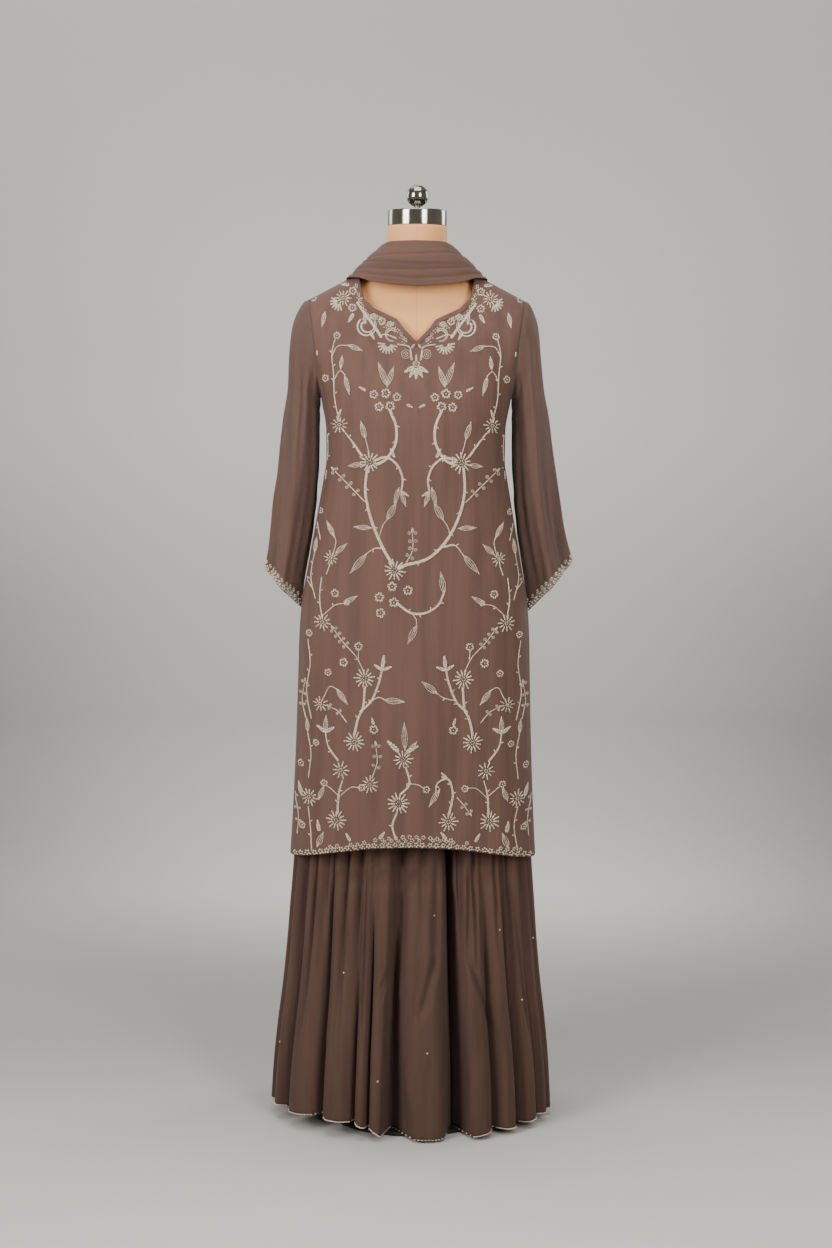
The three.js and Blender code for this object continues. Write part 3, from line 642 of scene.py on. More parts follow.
def leg_ring(first, last, side, share):
    count = (last - first) * LEG_COLUMNS_PER_FOLD
    ring = []
    for place in steps(count, first, last):
        point = sharara_vertex(place, mix(hem_height(place), LEG_TOP, share))
        at_end = max(0, 1 - min(place - first, last - place) * 4)
        point.x += side * LEG_GAP * at_end
        ring.append(point)
    start, end = ring[-1].copy(), ring[0].copy()
    for t in steps(INNER_STEPS)[1:-1]:
        point = start.lerp(end, t)
        spread = smooth(CROTCH, 0, point.z)
        wave = (3 + 5 * spread) * math.sin(math.pi * t) + 5 * spread * math.sin(4 * math.pi * t)
        point.x += side * wave
        ring.append(point)
    return ring


def build_leg(side_name, first, last, side):
    rows = [leg_ring(first, last, side, share) for share in steps(LEG_ROW_COUNT)]
    return make_sheet("sharara_" + side_name + "_cloth", rows, closed=True)


def tail_vertex(across, down):
    top_z = mix(TAIL["top_inner_z"], TAIL["top_outer_z"], across)
    z = mix(top_z, TAIL["hem"], down)
    inner = mix(TAIL["inner_top"], TAIL["inner_hem"], down)
    outer = mix(TAIL["outer_top"], TAIL["outer_hem"], smooth(0, 1, down))
    x = mix(inner, outer, across)
    lift = TAIL["top_lift"] * smooth(TAIL["lift_fade"], 0, top_z - z)
    pleat = 0.5 - 0.5 * math.cos(2 * math.pi * TAIL["pleats"] * across)
    pleat *= TAIL["pleat_deep"] * smooth(0, 0.3, down)
    rise = min(z, SHOULDER["tip_z"] + 20)
    base = kurta_depth(x, rise, "back", creased=False)
    return Vector((x, base + CAD_WALL + TAIL["clear"] + lift + pleat, z))


def scarf_vertex(along, across):
    share = (math.hypot(along, SCARF_TURN) - SCARF_TURN) / (math.hypot(1, SCARF_TURN) - SCARF_TURN)
    ends = []
    for end in ("up", "low"):
        x = table_value(SCARF, "along", end + "_x", abs(along))
        y, z = (table_value(SCARF, "along", end + axis, share) for axis in ("_y", "_z"))
        ends.append(Vector((x, y, z)))
    point = ends[0].lerp(ends[1], across)
    folds = sum(f["deep"] * math.exp(-((across - f["across"] - f["slant"] * along
                                        - f["bow"] * along * along) / f["wide"]) ** 2) for f in SCARF_FOLDS)
    belly = math.sin(math.pi * min(1, max(0, across)))
    fade = smooth(SCARF_BULGE["from"], SCARF_BULGE["to"], abs(along))
    bulge = mix(SCARF_BULGE["front"], SCARF_BULGE["side"], fade) * belly - folds * math.sqrt(max(0, belly))
    turn = math.pi * share
    out = Vector((math.sin(turn) * 0.5, -math.cos(turn), 0.6 + 0.4 * math.sin(turn))).normalized()
    point += out * bulge
    point = point.lerp(tail_vertex(across, 0), smooth(0.8, 1, share))
    point.x *= math.copysign(1, along)
    return point


def build_scarf():
    rows = [[scarf_vertex(u, w) for u in steps(120, -1, 1)] for w in steps(60, 1, 0)]
    pieces = {"neck": make_sheet("dupatta_neck_cloth", rows)}
    for side, sign in (("left", -1), ("right", 1)):
        columns = steps(64) if sign < 0 else steps(64, 1, 0)
        tail = []
        for down in steps(140, 1, 0.0015):
            row = [tail_vertex(across, down) for across in columns]
            for point in row:
                point.x *= sign
            tail.append(row)
        pieces[side] = make_sheet(f"dupatta_{side}_cloth", tail)
    return pieces


def form_vertex(angle, z):
    power = mix(2.2, 2, smooth(1440, 1490, z))
    side = "front" if math.cos(angle) > 0 else "back"
    return Vector((table_value(FORM, "z", "half", z) * signed_power(math.sin(angle), 2 / power),
                   -table_value(FORM, "z", side, z) * signed_power(math.cos(angle), 2 / power), z))


def build_form():
    turns = full_turn(112)
    width = len(turns)
    points = [form_vertex(a, z) for z in steps(150, FORM[0]["z"], NECK_TOP) for a in turns]
    faces = grid_faces(len(points) // width, width)
    faces.append(tuple(range(width - 1, -1, -1)))
    faces.append(tuple(range(len(points) - width, len(points))))
    return make_mesh("form_cover", points, faces)


def build_turned(name, profile, sides):
    """A turned solid from rows of radius and height that start and end on the axis."""
    points = [(0, 0, profile[0][1])]
    for radius, z in profile[1:-1]:
        points += circle(radius, z, sides)
    points.append((0, 0, profile[-1][1]))
    faces = []
    rings = len(profile) - 2
    for i in range(sides):
        j = (i + 1) % sides
        faces.append((0, 1 + j, 1 + i))
        top = 1 + (rings - 1) * sides
        faces.append((len(points) - 1, top + i, top + j))
        for r in range(rings - 1):
            a = 1 + r * sides
            faces.append((a + i, a + j, a + sides + j, a + sides + i))
    return make_mesh(name, points, faces)


def arc(centre_r, centre_z, radius, start, end, count):
    return [(centre_r + radius * math.cos(math.radians(a)), centre_z + radius * math.sin(math.radians(a)))
            for a in steps(count, start, end)]


def build_cap():
    radius, bottom, top, turn = CAP["radius"], CAP["bottom"], CAP["top"], CAP["round"]
    profile = [(0, bottom), (radius - 1.2, bottom)]
    profile += arc(radius - 1, bottom + 1, 1, -70, 0, 3)
    profile += arc(radius - turn, top - turn, turn, 0, 88, 7)
    profile += [(radius - turn - 1, top), (0, top)]
    return build_turned("neck_cap_chrome", profile, 128)


def build_finial():
    foot = CAP["top"] + SEAM
    profile = [(0, foot), (STEM["foot"] - 0.4, foot), (STEM["foot"], foot + 0.5)]
    profile += [(mix(STEM["foot"], STEM["radius"], smooth(0, 1, t)), foot + 0.5 + STEM["flare"] * t)
                for t in steps(6)[1:]]
    start = -90 + math.degrees(math.asin(STEM["radius"] / BALL["radius"]))
    profile += arc(0, BALL["centre"], BALL["radius"], start, 89, 36)
    profile.append((0, BALL["centre"] + BALL["radius"]))
    return build_turned("finial_chrome", profile, 72)


# Materials
def linear(r, g, b):
    """Scene-linear colour of an sRGB colour given from 0 to 255."""
    def one(value):
        share = value / 255
        return share / 12.92 if share <= 0.04045 else ((share + 0.055) / 1.055) ** 2.4
    return (one(r), one(g), one(b), 1)


def new_material(name, colour, **values):
    material = bpy.data.materials.new(name)
    material.use_nodes = True
    shader = material.node_tree.nodes["Principled BSDF"]
    shader.inputs["Base Color"].default_value = linear(*colour)
    for socket, value in values.items():
        shader.inputs[socket.replace("_", " ")].default_value = value
    return material, material.node_tree, shader


def add_node(tree, kind, **values):
    node = tree.nodes.new(kind)
    for socket, value in values.items():
        node.inputs[socket.replace("_", " ")].default_value = value
    return node


def object_coordinates(tree, stretch=(1, 1, 1)):
    place = tree.nodes.new("ShaderNodeTexCoord")
    mapping = add_node(tree, "ShaderNodeMapping", Scale=stretch)
    tree.links.new(place.outputs["Object"], mapping.inputs["Vector"])
    return mapping.outputs["Vector"]


def noise(tree, vector, scale, detail=2.0, roughness=0.5):
    node = add_node(tree, "ShaderNodeTexNoise", Scale=scale, Detail=detail, Roughness=roughness)
    tree.links.new(vector, node.inputs["Vector"])
    return node.outputs["Fac"]


def ramp(tree, factor, stops):
    """Colour ramp from rows of position and sRGB colour."""
    node = tree.nodes.new("ShaderNodeValToRGB")
    elements = node.color_ramp.elements
    while len(elements) < len(stops):
        elements.new(0.5)
    for element, (position, colour) in zip(elements, stops):
        element.position = position
        element.color = linear(*colour)
    tree.links.new(factor, node.inputs["Fac"])
    return node.outputs["Color"]


def fade(tree, value, start, end, first, last):
    """Soft change from the first number to the last between two values."""
    change = add_node(tree, "ShaderNodeMapRange", From_Min=start, From_Max=end, To_Min=first, To_Max=last)
    change.interpolation_type = "SMOOTHSTEP"
    tree.links.new(value, change.inputs["Value"])
    return change.outputs["Result"]


def arithmetic(tree, operation, a, b=None):
    """Arithmetic on two sockets, or on a socket and a number."""
    node = tree.nodes.new("ShaderNodeMath")
    node.operation = operation
    tree.links.new(a, node.inputs[0])
    if isinstance(b, float):
        node.inputs[1].default_value = b
    elif b is not None:
        tree.links.new(b, node.inputs[1])
    return node.outputs["Value"]


def bump(tree, shader, height, distance, strength):
    node = add_node(tree, "ShaderNodeBump", Distance=distance, Strength=strength)
    tree.links.new(height, node.inputs["Height"])
    tree.links.new(node.outputs["Normal"], shader.inputs["Normal"])


def tint(colour, factor):
    return tuple(channel * factor for channel in colour)


GEORGETTE = (89, 65, 57)
SLEEVE_CLOTH = (95, 70, 61)
SCARF_CLOTH = (84, 62, 54)
# The sharara's georgette is the kurta's cloth made darker: painted shade for the lower part, which gets less
# light
SKIRT_CLOTH_PAINTED_SHADE = (73, 53, 45)
THREAD = (214, 200, 172)
JERSEY = (213, 152, 99)
SEAM_LINE = {"half": 0.0009, "tone": 0.86}
STREAK_DEPTH = 7


def georgette(name, colour, see_through=0.0, grain=(1, 1, 0.05)):
    """Crinkled matt crepe, sheer where a single layer hangs."""
    material, tree, shader = new_material(
        name, colour, Roughness=0.82, Sheen_Weight=0.04, Sheen_Roughness=0.5, Specular_IOR_Level=0.2)
    vector = object_coordinates(tree)
    crinkle = noise(tree, vector, 900, 3, 0.6)
    streaks = noise(tree, object_coordinates(tree, grain), 48, 3, 0.55)
    tone = ramp(tree, streaks, [(0.34, tint(colour, 0.92)), (0.5, colour), (0.68, tint(colour, 1.05))])
    tree.links.new(tone, shader.inputs["Base Color"])
    relief = add_node(tree, "ShaderNodeMath")
    relief.operation = "MULTIPLY_ADD"
    relief.inputs[1].default_value = STREAK_DEPTH
    tree.links.new(streaks, relief.inputs[0])
    tree.links.new(crinkle, relief.inputs[2])
    bump(tree, shader, relief.outputs["Value"], 0.0005, 0.6)
    if see_through:
        clear = tree.nodes.new("ShaderNodeBsdfTransparent")
        blend = add_node(tree, "ShaderNodeMixShader", Fac=see_through)
        output = tree.nodes["Material Output"]
        tree.links.new(shader.outputs["BSDF"], blend.inputs[1])
        tree.links.new(clear.outputs["BSDF"], blend.inputs[2])
        tree.links.new(blend.outputs["Shader"], output.inputs["Surface"])
    return material


def thread_material():
    """Cream rayon thread laid in short satin stitches."""
    material, tree, shader = new_material(
        "cream_thread", THREAD, Roughness=0.5, Sheen_Weight=0.3, Specular_IOR_Level=0.4)
    vector = object_coordinates(tree)
    knots = noise(tree, vector, 620, 2, 0.7)
    tone = ramp(tree, knots, [(0.36, tint(THREAD, 0.5)), (0.5, tint(THREAD, 0.9)), (0.64, THREAD)])
    tree.links.new(tone, shader.inputs["Base Color"])
    bump(tree, shader, knots, 0.0008, 0.8)
    return material


def jersey_material():
    """Fine knitted cover of the dress form."""
    material, tree, shader = new_material(
        "form_jersey", JERSEY, Roughness=0.75, Sheen_Weight=0.08, Specular_IOR_Level=0.25)
    vector = object_coordinates(tree, (1, 1, 0.6))
    knit = noise(tree, vector, 1400, 2)
    parts = tree.nodes.new("ShaderNodeSeparateXYZ")
    tree.links.new(vector, parts.inputs["Vector"])
    aside = arithmetic(tree, "ABSOLUTE", parts.outputs["X"])
    seam = add_node(tree, "ShaderNodeMapRange", From_Min=0.0, From_Max=SEAM_LINE["half"])
    tree.links.new(aside, seam.inputs["Value"])
    tone = ramp(tree, seam.outputs["Result"], [(0.0, tint(JERSEY, SEAM_LINE["tone"])), (1.0, JERSEY)])
    tree.links.new(tone, shader.inputs["Base Color"])
    bump(tree, shader, knit, 0.0004, 0.4)
    return material


def chrome_material():
    """Bright chrome with faint wiping marks, its colour darkened as a painted dark reflection of the
    surroundings.
    """
    # colour darker than real chrome: painted dark reflection of the surroundings
    material, tree, shader = new_material(
        "chrome", (145, 140, 131), Roughness=0.1, Metallic=1.0)
    marks = noise(tree, object_coordinates(tree, (1, 1, 8)), 40, 3)
    gloss = add_node(tree, "ShaderNodeMapRange", To_Min=0.06, To_Max=0.16)
    tree.links.new(marks, gloss.inputs["Value"])
    tree.links.new(gloss.outputs["Result"], shader.inputs["Roughness"])
    return material


def steel_material():
    """Grey powder-coated steel."""
    material, tree, shader = new_material("coated_steel", (44, 42, 40), Roughness=0.5, Metallic=0.6)
    grain = noise(tree, object_coordinates(tree), 700, 2)
    bump(tree, shader, grain, 0.0004, 0.3)
    return material


LOOKS = {
    "kurta": georgette("kurta_georgette", GEORGETTE),
    "sleeve": georgette("sleeve_georgette", SLEEVE_CLOTH, 0.36),
    "skirt": georgette("sharara_georgette_painted_shade", SKIRT_CLOTH_PAINTED_SHADE),
    "scarf": georgette("scarf_georgette", SCARF_CLOTH),
    "scarf_neck": georgette("scarf_neck_georgette", SCARF_CLOTH, grain=(0.08, 0.08, 1)),
    "thread": thread_material(),
    "jersey": jersey_material(),
    "chrome": chrome_material(),
    "steel": steel_material(),
}


# Pieces on their solids: mesh, node that it replaces and look
def dress(piece, node, look):
    piece.data.materials.append(LOOKS[look])
    if node:
        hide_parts(node)
    return piece


LEGS = (("right", FRONT_SPLIT, BACK_SPLIT, 1), ("left", BACK_SPLIT, LAST_SPLIT, -1))
SCARF_NODES = {"neck": "dupatta_neck", "left": "dupatta_tail_left", "right": "dupatta_tail_right"}
for side, facing in (("front", -1), ("back", 1)):
    cloth = build_panel(f"kurta_{side}_cloth", side, facing)
    dress(cloth, "kurta_" + side, "kurta")
for side in ("right", "left"):
    dress(build_sleeve(side), "sleeve_" + side, "sleeve")
for side, first, last, sign in LEGS:
    cloth = build_leg(side, first, last, sign)
    dress(cloth, "sharara_leg_" + side, "skirt")
SCARF_PIECES = build_scarf()
for part, node in SCARF_NODES.items():
    look = "scarf_neck" if part == "neck" else "scarf"
    dress(SCARF_PIECES[part], node, look)
dress(build_form(), "form_torso", "jersey")
dress(build_cap(), "neck_cap", "chrome")
dress(build_finial(), "finial", "chrome")

# Solids that keep their own mesh
PLAIN = {
    "pole": "steel", "base": "steel", "neck_binding_front": "kurta", "neck_binding_back": "kurta",
    "sharara_yoke": "skirt", "sharara_waistband": "skirt",
}
for solid, look in PLAIN.items():
    materials = bpy.data.objects[solid].data.materials
    materials.clear()
    materials.append(LOOKS[look])


# Embroidery: short raised stitches laid on a surface that is named by two places in millimetres
def front_surface(x, z):
    return Vector((x, -kurta_depth(x, z, "front"), z))


def back_surface(x, z):
    return Vector((-x, kurta_depth(-x, z, "back"), z))


def skirt_surface(u, v):
    """Places on a sharara leg: grooves passed, as a width, and height above the hem."""
    place = u / PLACE_WIDE
    return sharara_vertex(place, hem_height(min(LAST_SPLIT - 0.001, max(0, place))) + v)


def cuff_surface(side):
    """Places on a sleeve's end: way round, as a length, and height above the edge."""
    last = len(SLEEVES[side]) - 1
    sign = 1 if side == "right" else -1

    def surface(u, v):
        return sleeve_vertex(side, last - v / CUFF["ring_high"], 2 * math.pi * sign * u / CUFF["turn"])

    return surface


def lay_cuff(work):
    """Band of small round flowers and seeds round a sleeve's end."""
    high = CUFF["high"]
    step = CUFF["turn"] / CUFF["flowers"]
    for i in range(CUFF["flowers"]):
        work.floret(i * step, high * 0.36, 4.9)
        work.floret((i + 0.5) * step, high * 0.88, 3.4)
        work.bead((i + 0.5) * step, high * 0.16, 2.2)


def inside_front(x, z, margin=4):
    if abs(x) > panel_edge(min(z, SHOULDER["tip_z"])) - margin:
        return False
    return panel_hem(x, "front") < z < panel_top(min(abs(x), SHOULDER["tip_x"]), "front") - margin


def polar(u, v, angle, reach):
    """Place at a reach and an angle in radians from another one."""
    return u + math.cos(angle) * reach, v + math.sin(angle) * reach


THREAD_LIFT = 0.2


class Needlework:
    """Collects the stitches that one needle lays on one surface."""

    def __init__(self, surface, inside=None):
        self.surface = surface
        self.inside = inside
        self.points = []
        self.faces = []

    def frame(self, u, v):
        place = self.surface(u, v)
        across = (self.surface(u + 1, v) - place).normalized()
        up = self.surface(u, v + 1) - place
        out = across.cross(up).normalized()
        return place + out * THREAD_LIFT, across, out.cross(across), out

    def stitch(self, u, v, angle, length, wide, high=1.1):
        """One raised stitch, pointed at its ends, turned by an angle in degrees."""
        if self.inside and not self.inside(u, v):
            return
        place, across, up, out = self.frame(u, v)
        turn = math.radians(angle)
        along = across * math.cos(turn) + up * math.sin(turn)
        beside = out.cross(along)
        start = len(self.points)
        sides = 6
        for scale, rise in ((1.0, -0.25), (0.72, 0.72 * high)):
            for i in range(sides):
                a = 2 * math.pi * i / sides
                self.points.append(place + along * (math.cos(a) * length / 2 * scale)
                                   + beside * (math.sin(a) * wide / 2 * scale) + out * rise)
        self.points.append(place + out * high)
        for i in range(sides):
            j = (i + 1) % sides
            self.faces.append((start + i, start + j, start + sides + j, start + sides + i))
            self.faces.append((start + sides + i, start + sides + j, start + 2 * sides))

    def bead(self, u, v, wide=2.2, high=1.4):
        self.stitch(u, v, 0, wide, wide, high)

    def chain(self, path, wide, spacing=2.3):
        """A stem of slanting stitches along a smooth path; wide is its start and end width."""
        for (u, v), angle, share in walk(path, spacing):
            width = mix(wide[0], wide[1], share)
            turn = math.radians(angle)
            rows = 2 if width > 2.6 else 1
            for row in range(rows):
                sign = (row * 2 - 1) if rows == 2 else 0
                off = sign * width * 0.24
                self.stitch(u - math.sin(turn) * off, v + math.cos(turn) * off,
                            angle + sign * 24 + DRAW.uniform(-6, 6), spacing * 1.9,
                            width * (0.62 if rows == 2 else 1.0), 0.7 + 0.12 * width)

    def thorns(self, path, spacing, reach):
        sign = 1
        for (u, v), angle, share in walk(path, spacing):
            if 0.08 < share < 0.93:
                turn = math.radians(angle + sign * 60)
                self.stitch(*polar(u, v, turn, reach), angle + sign * 60, reach * 1.7, 2.0)
                sign = -sign

    def daisy(self, u, v, radius, petals=13):
        turn = DRAW.uniform(0, 360)
        for i in range(petals):
            angle = turn + 360 * i / petals
            reach = radius * (1 if i % 2 else 0.86) * DRAW.uniform(0.93, 1.05)
            a = math.radians(angle)
            self.stitch(*polar(u, v, a, reach * 0.64), angle, reach * 0.7, radius * 0.15, 1.3)
            self.bead(*polar(u, v, a, reach * 0.96), radius * 0.17, 1.4)
        for i in range(6):
            a = 2 * math.pi * i / 6
            self.bead(*polar(u, v, a, radius * 0.17), 2.0, 1.9)

    def blossom(self, u, v, radius, petals=5):
        """Small flower of split petals round a bead."""
        turn = DRAW.uniform(0, 360)
        for i in range(petals):
            a = math.radians(turn + 360 * i / petals)
            for side in (-1, 1):
                b = a + side * 0.3
                self.stitch(*polar(u, v, b, radius * 0.66),
                            math.degrees(a) - side * 14, radius * 0.62, radius * 0.3, 1.2)
        self.bead(u, v, 2.4, 1.9)

    def floret(self, u, v, radius, petals=5):
        """Tiny flower of round knots."""
        turn = DRAW.uniform(0, 360)
        for i in range(petals):
            a = math.radians(turn + 360 * i / petals)
            self.bead(*polar(u, v, a, radius * 0.62), radius * 0.64, 1.6)

    def ring(self, u, v, radius, high=1.1):
        count = max(5, round(2 * math.pi * radius / 2.2))
        for i in range(count):
            a = 2 * math.pi * i / count
            self.stitch(*polar(u, v, a, radius), math.degrees(a) + 90, 2.5, 1.15, high)

    def leaf(self, u, v, angle, length, wide):
        """Outlined leaf with an open vein, from its foot."""
        a = math.radians(angle)
        ahead, aside = (math.cos(a), math.sin(a)), (-math.sin(a), math.cos(a))

        def at(share, off):
            return (u + ahead[0] * length * share + aside[0] * off,
                    v + ahead[1] * length * share + aside[1] * off)

        for side, belly in ((1, 1), (-1, 1), (1, 0.3), (-1, 0.3)):
            bend = wide / 2 * side * belly
            shares = steps(5) if belly == 1 else steps(4, 0.12, 0.86)
            path = [at(s, bend * math.sin(math.pi * s ** 0.85)) for s in shares]
            self.chain(path, (1.15, 1.0), 2.4)

    def bud(self, u, v, angle, length, wide):
        """Filled bud of two rows of stitches, from its foot."""
        a = math.radians(angle)
        for share in steps(4, 0.12, 0.9):
            for side in (-1, 1):
                off = side * wide * 0.25 * math.sin(math.pi * min(1, share + 0.15))
                self.stitch(u + math.cos(a) * length * share - math.sin(a) * off,
                            v + math.sin(a) * length * share + math.cos(a) * off,
                            angle + side * 28, length * 0.3, wide * 0.42, 1.2)

    def berries(self, path, pairs, size):
        """Thin sprig with pairs of berries and one at its tip."""
        self.chain(path, (1.9, 1.5))
        places = list(walk(path, path_length(path) / (pairs + 0.2)))
        for (u, v), angle, _ in places[1:]:
            for side in (-1, 1):
                a = math.radians(angle + side * 62)
                reach = size * 1.05
                self.ring(*polar(u, v, a, reach), size * 0.42)
                self.bead(*polar(u, v, a, reach), 1.6, 1.0)
        (u, v), angle, _ = places[-1]
        a = math.radians(angle)
        self.bud(*polar(u, v, a, size * 0.6), angle, size * 1.5, size)

    def fan(self, u, v, angle, radius, spread=160):
        """Half flower of looped petals that opens away from its stem."""
        petals = max(5, round(spread / 19))
        for i in range(petals):
            degrees = angle - spread / 2 + spread * i / (petals - 1)
            a = math.radians(degrees)
            for share, wide in ((0.45, 2.2), (0.78, 3.0)):
                self.stitch(*polar(u, v, a, radius * share), degrees, radius * 0.42, wide, 1.4)
            self.bead(*polar(u, v, a, radius), 3.2, 1.5)
        for i in range(petals - 1):
            a = math.radians(angle - spread / 2 + spread * (i + 0.5) / (petals - 1))
            self.bead(*polar(u, v, a, radius * 0.62), 2.4, 1.5)

    def comma(self, u, v, start, turn, radius, wide):
        """Curled scroll that thickens towards its round head."""
        count = max(8, round(abs(turn) * radius / 70))
        for i in range(count + 1):
            share = i / count
            degrees = start + turn * share
            a = math.radians(degrees)
            swell = wide * (0.35 + 0.65 * smooth(0, 0.7, share))
            for row in range(2):
                reach = radius * (1 - 0.25 * share) + (row - 0.5) * swell * 0.62
                self.stitch(*polar(u, v, a, reach),
                            degrees + 90 + (row * 2 - 1) * 26, 3.0, swell * 0.34, 1.3)
        a = math.radians(start + turn)
        reach = radius * 0.72
        self.ring(*polar(u, v, a, reach), wide * 0.4, 1.4)

    def piece(self, name, node=None):
        made = make_mesh(name, self.points, self.faces)
        return dress(made, node, "thread")


def catmull(path, share):
    """Point of a smooth curve through a path's points."""
    spans = len(path) - 1
    i = min(spans - 1, int(share * spans))
    t = share * spans - i
    b, c = path[i], path[i + 1]
    a = path[i - 1] if i else (2 * b[0] - c[0], 2 * b[1] - c[1])
    d = path[i + 2] if i + 2 <= spans else (2 * c[0] - b[0], 2 * c[1] - b[1])
    return tuple(0.5 * (2 * q + (r - p) * t + (2 * p - 5 * q + 4 * r - s) * t * t
                        + (3 * q - p - 3 * r + s) * t ** 3)
                 for p, q, r, s in zip(a, b, c, d))


def path_length(path):
    places = [catmull(path, s) for s in steps(40)]
    return sum(math.dist(a, b) for a, b in zip(places, places[1:]))


def walk(path, spacing):
    """Evenly spaced places along a path, with the direction in degrees and the share walked."""
    fine = [catmull(path, s) for s in steps(24 * (len(path) - 1))]
    total = sum(math.dist(a, b) for a, b in zip(fine, fine[1:]))
    count = max(1, round(total / spacing))
    found = []
    walked = 0
    target = 0
    for a, b in zip(fine, fine[1:]):
        step = math.dist(a, b)
        angle = math.degrees(math.atan2(b[1] - a[1], b[0] - a[0]))
        while target <= count and walked + step >= total * target / count - 1e-6:
            part = (total * target / count - walked) / step
            found.append(((mix(a[0], b[0], part), mix(a[1], b[1], part)), angle, target / count))
            target += 1
        walked += step
    return found


# Motifs of the kurta's front, in millimetres; sides says on which side of the centre each one lies
BOTH, RIGHT, LEFT = (1, -1), (1,), (-1,)
STEMS = rows_of(
    "sides path wide thorns",
    (BOTH, [(42, 1214), (32, 1188), (33, 1160), (47, 1136), (64, 1126)], (4.0, 4.3), 26),
    (BOTH, [(66, 1133), (48, 1138), (30, 1126), (21, 1104), (23, 1082)], (3.7, 2.6), 24),
    (RIGHT, [(79, 1120), (81, 1084), (73, 1044), (52, 1002),
             (22, 973), (-14, 962), (-28, 957)], (3.9, 4.7), 34),
    (LEFT, [(79, 1120), (82, 1082), (73, 1038), (56, 996), (38, 964)], (3.9, 4.7), 34),
    (BOTH, [(88, 1140), (104, 1162), (120, 1182)], (3.3, 2.1), 16),
    (BOTH, [(126, 1196), (134, 1232), (136, 1272), (139, 1306), (134, 1330)], (2.4, 1.8), 22),
    (BOTH, [(136, 1262), (126, 1278), (117, 1272)], (1.9, 1.5), 30),
    (BOTH, [(139, 1302), (130, 1318), (112, 1320)], (1.9, 1.4), 30),
    (BOTH, [(76, 1144), (80, 1160), (82, 1168)], (1.4, 1.4), 30),
    (BOTH, [(58, 1010), (53, 1026), (46, 1036)], (1.6, 1.4), 30),
    (RIGHT, [(47, 992), (66, 994), (80, 978)], (3.2, 1.7), 20),
    (LEFT, [(50, 988), (66, 988), (84, 976)], (2.2, 1.5), 20),
    (RIGHT, [(-28, 898), (-6, 883), (18, 883), (39, 896), (49, 918)], (4.0, 2.6), 22),
    (RIGHT, [(-3, 881), (3, 872), (4, 860)], (1.7, 1.4), 30),
    (BOTH, [(154, 872), (158, 902), (155, 936)], (2.4, 2.0), 20),
    (BOTH, [(150, 876), (132, 892), (116, 896)], (1.7, 1.5), 18),
    (BOTH, [(146, 944), (140, 962)], (1.9, 1.5), 30),
    (BOTH, [(136, 974), (131, 996), (134, 1008)], (1.6, 1.4), 30),
    (BOTH, [(98, 680), (92, 706), (84, 724), (81, 758)], (3.6, 3.3), 24),
    (BOTH, [(88, 718), (70, 736), (58, 766), (52, 792)], (3.6, 2.6), 20),
    (RIGHT, [(70, 737), (50, 742), (36, 752)], (2.2, 1.5), 20),
    (LEFT, [(71, 735), (58, 742), (46, 738)], (2.3, 1.7), 20),
    (BOTH, [(84, 786), (94, 806), (106, 820)], (1.9, 1.5), 20),
    (BOTH, [(92, 802), (92, 820)], (1.4, 1.4), 30),
    (BOTH, [(126, 545), (124, 578), (118, 600)], (3.2, 2.4), 22),
    (BOTH, [(126, 634), (142, 656), (147, 680)], (2.9, 2.3), 16),
    (BOTH, [(124, 572), (104, 590), (88, 590)], (1.7, 1.4), 30),
    (BOTH, [(124, 574), (138, 586), (144, 590)], (1.7, 1.4), 30),
    (RIGHT, [(-28, 506), (-34, 528), (-28, 548)], (3.0, 2.7), 20),
    (RIGHT, [(-20, 582), (-6, 600), (-12, 626)], (3.0, 2.7), 20),
    (RIGHT, [(-8, 600), (8, 598), (18, 592)], (1.7, 1.4), 30),
    (RIGHT, [(60, 548), (66, 580), (58, 606), (40, 600), (38, 580)], (3.3, 2.3), 18),
    (RIGHT, [(176, 480), (170, 520), (176, 552)], (2.2, 1.8), 22),
    (LEFT, [(170, 478), (172, 512), (176, 548)], (2.2, 1.8), 22),
    (BOTH, [(172, 700), (180, 744), (174, 792), (178, 830)], (2.0, 1.7), 26),
    (BOTH, [(176, 600), (172, 640), (178, 676)], (1.9, 1.7), 26),
    (BOTH, [(158, 1000), (166, 1040), (160, 1080)], (1.9, 1.5), 18),
    (BOTH, [(150, 1100), (146, 1150), (149, 1190)], (1.7, 1.5), 18),
    (BOTH, [(166, 902), (174, 936), (168, 976)], (1.9, 1.5), 18),
    (BOTH, [(150, 738), (140, 756), (126, 752)], (1.6, 1.4), 30),
)
DAISIES = rows_of(
    "sides x z radius petals",
    (BOTH, 75, 1130, 18, 13),
    (LEFT, 33, 953, 18, 13),
    (BOTH, 126, 1190, 14, 11),
    (BOTH, 98, 667, 17, 13),
    (BOTH, 82, 773, 17, 13),
    (BOTH, 153, 863, 15, 11),
    (BOTH, 128, 533, 17, 13),
    (BOTH, 121, 618, 15, 10),
    (LEFT, 24, 566, 19, 14),
    (LEFT, 17, 640, 16, 12),
    (BOTH, 175, 566, 15, 12),
    (RIGHT, 59, 535, 16, 12),
    (LEFT, 72, 596, 15, 11),
    (BOTH, 156, 726, 13, 10),
    (BOTH, 139, 970, 12, 10),
)
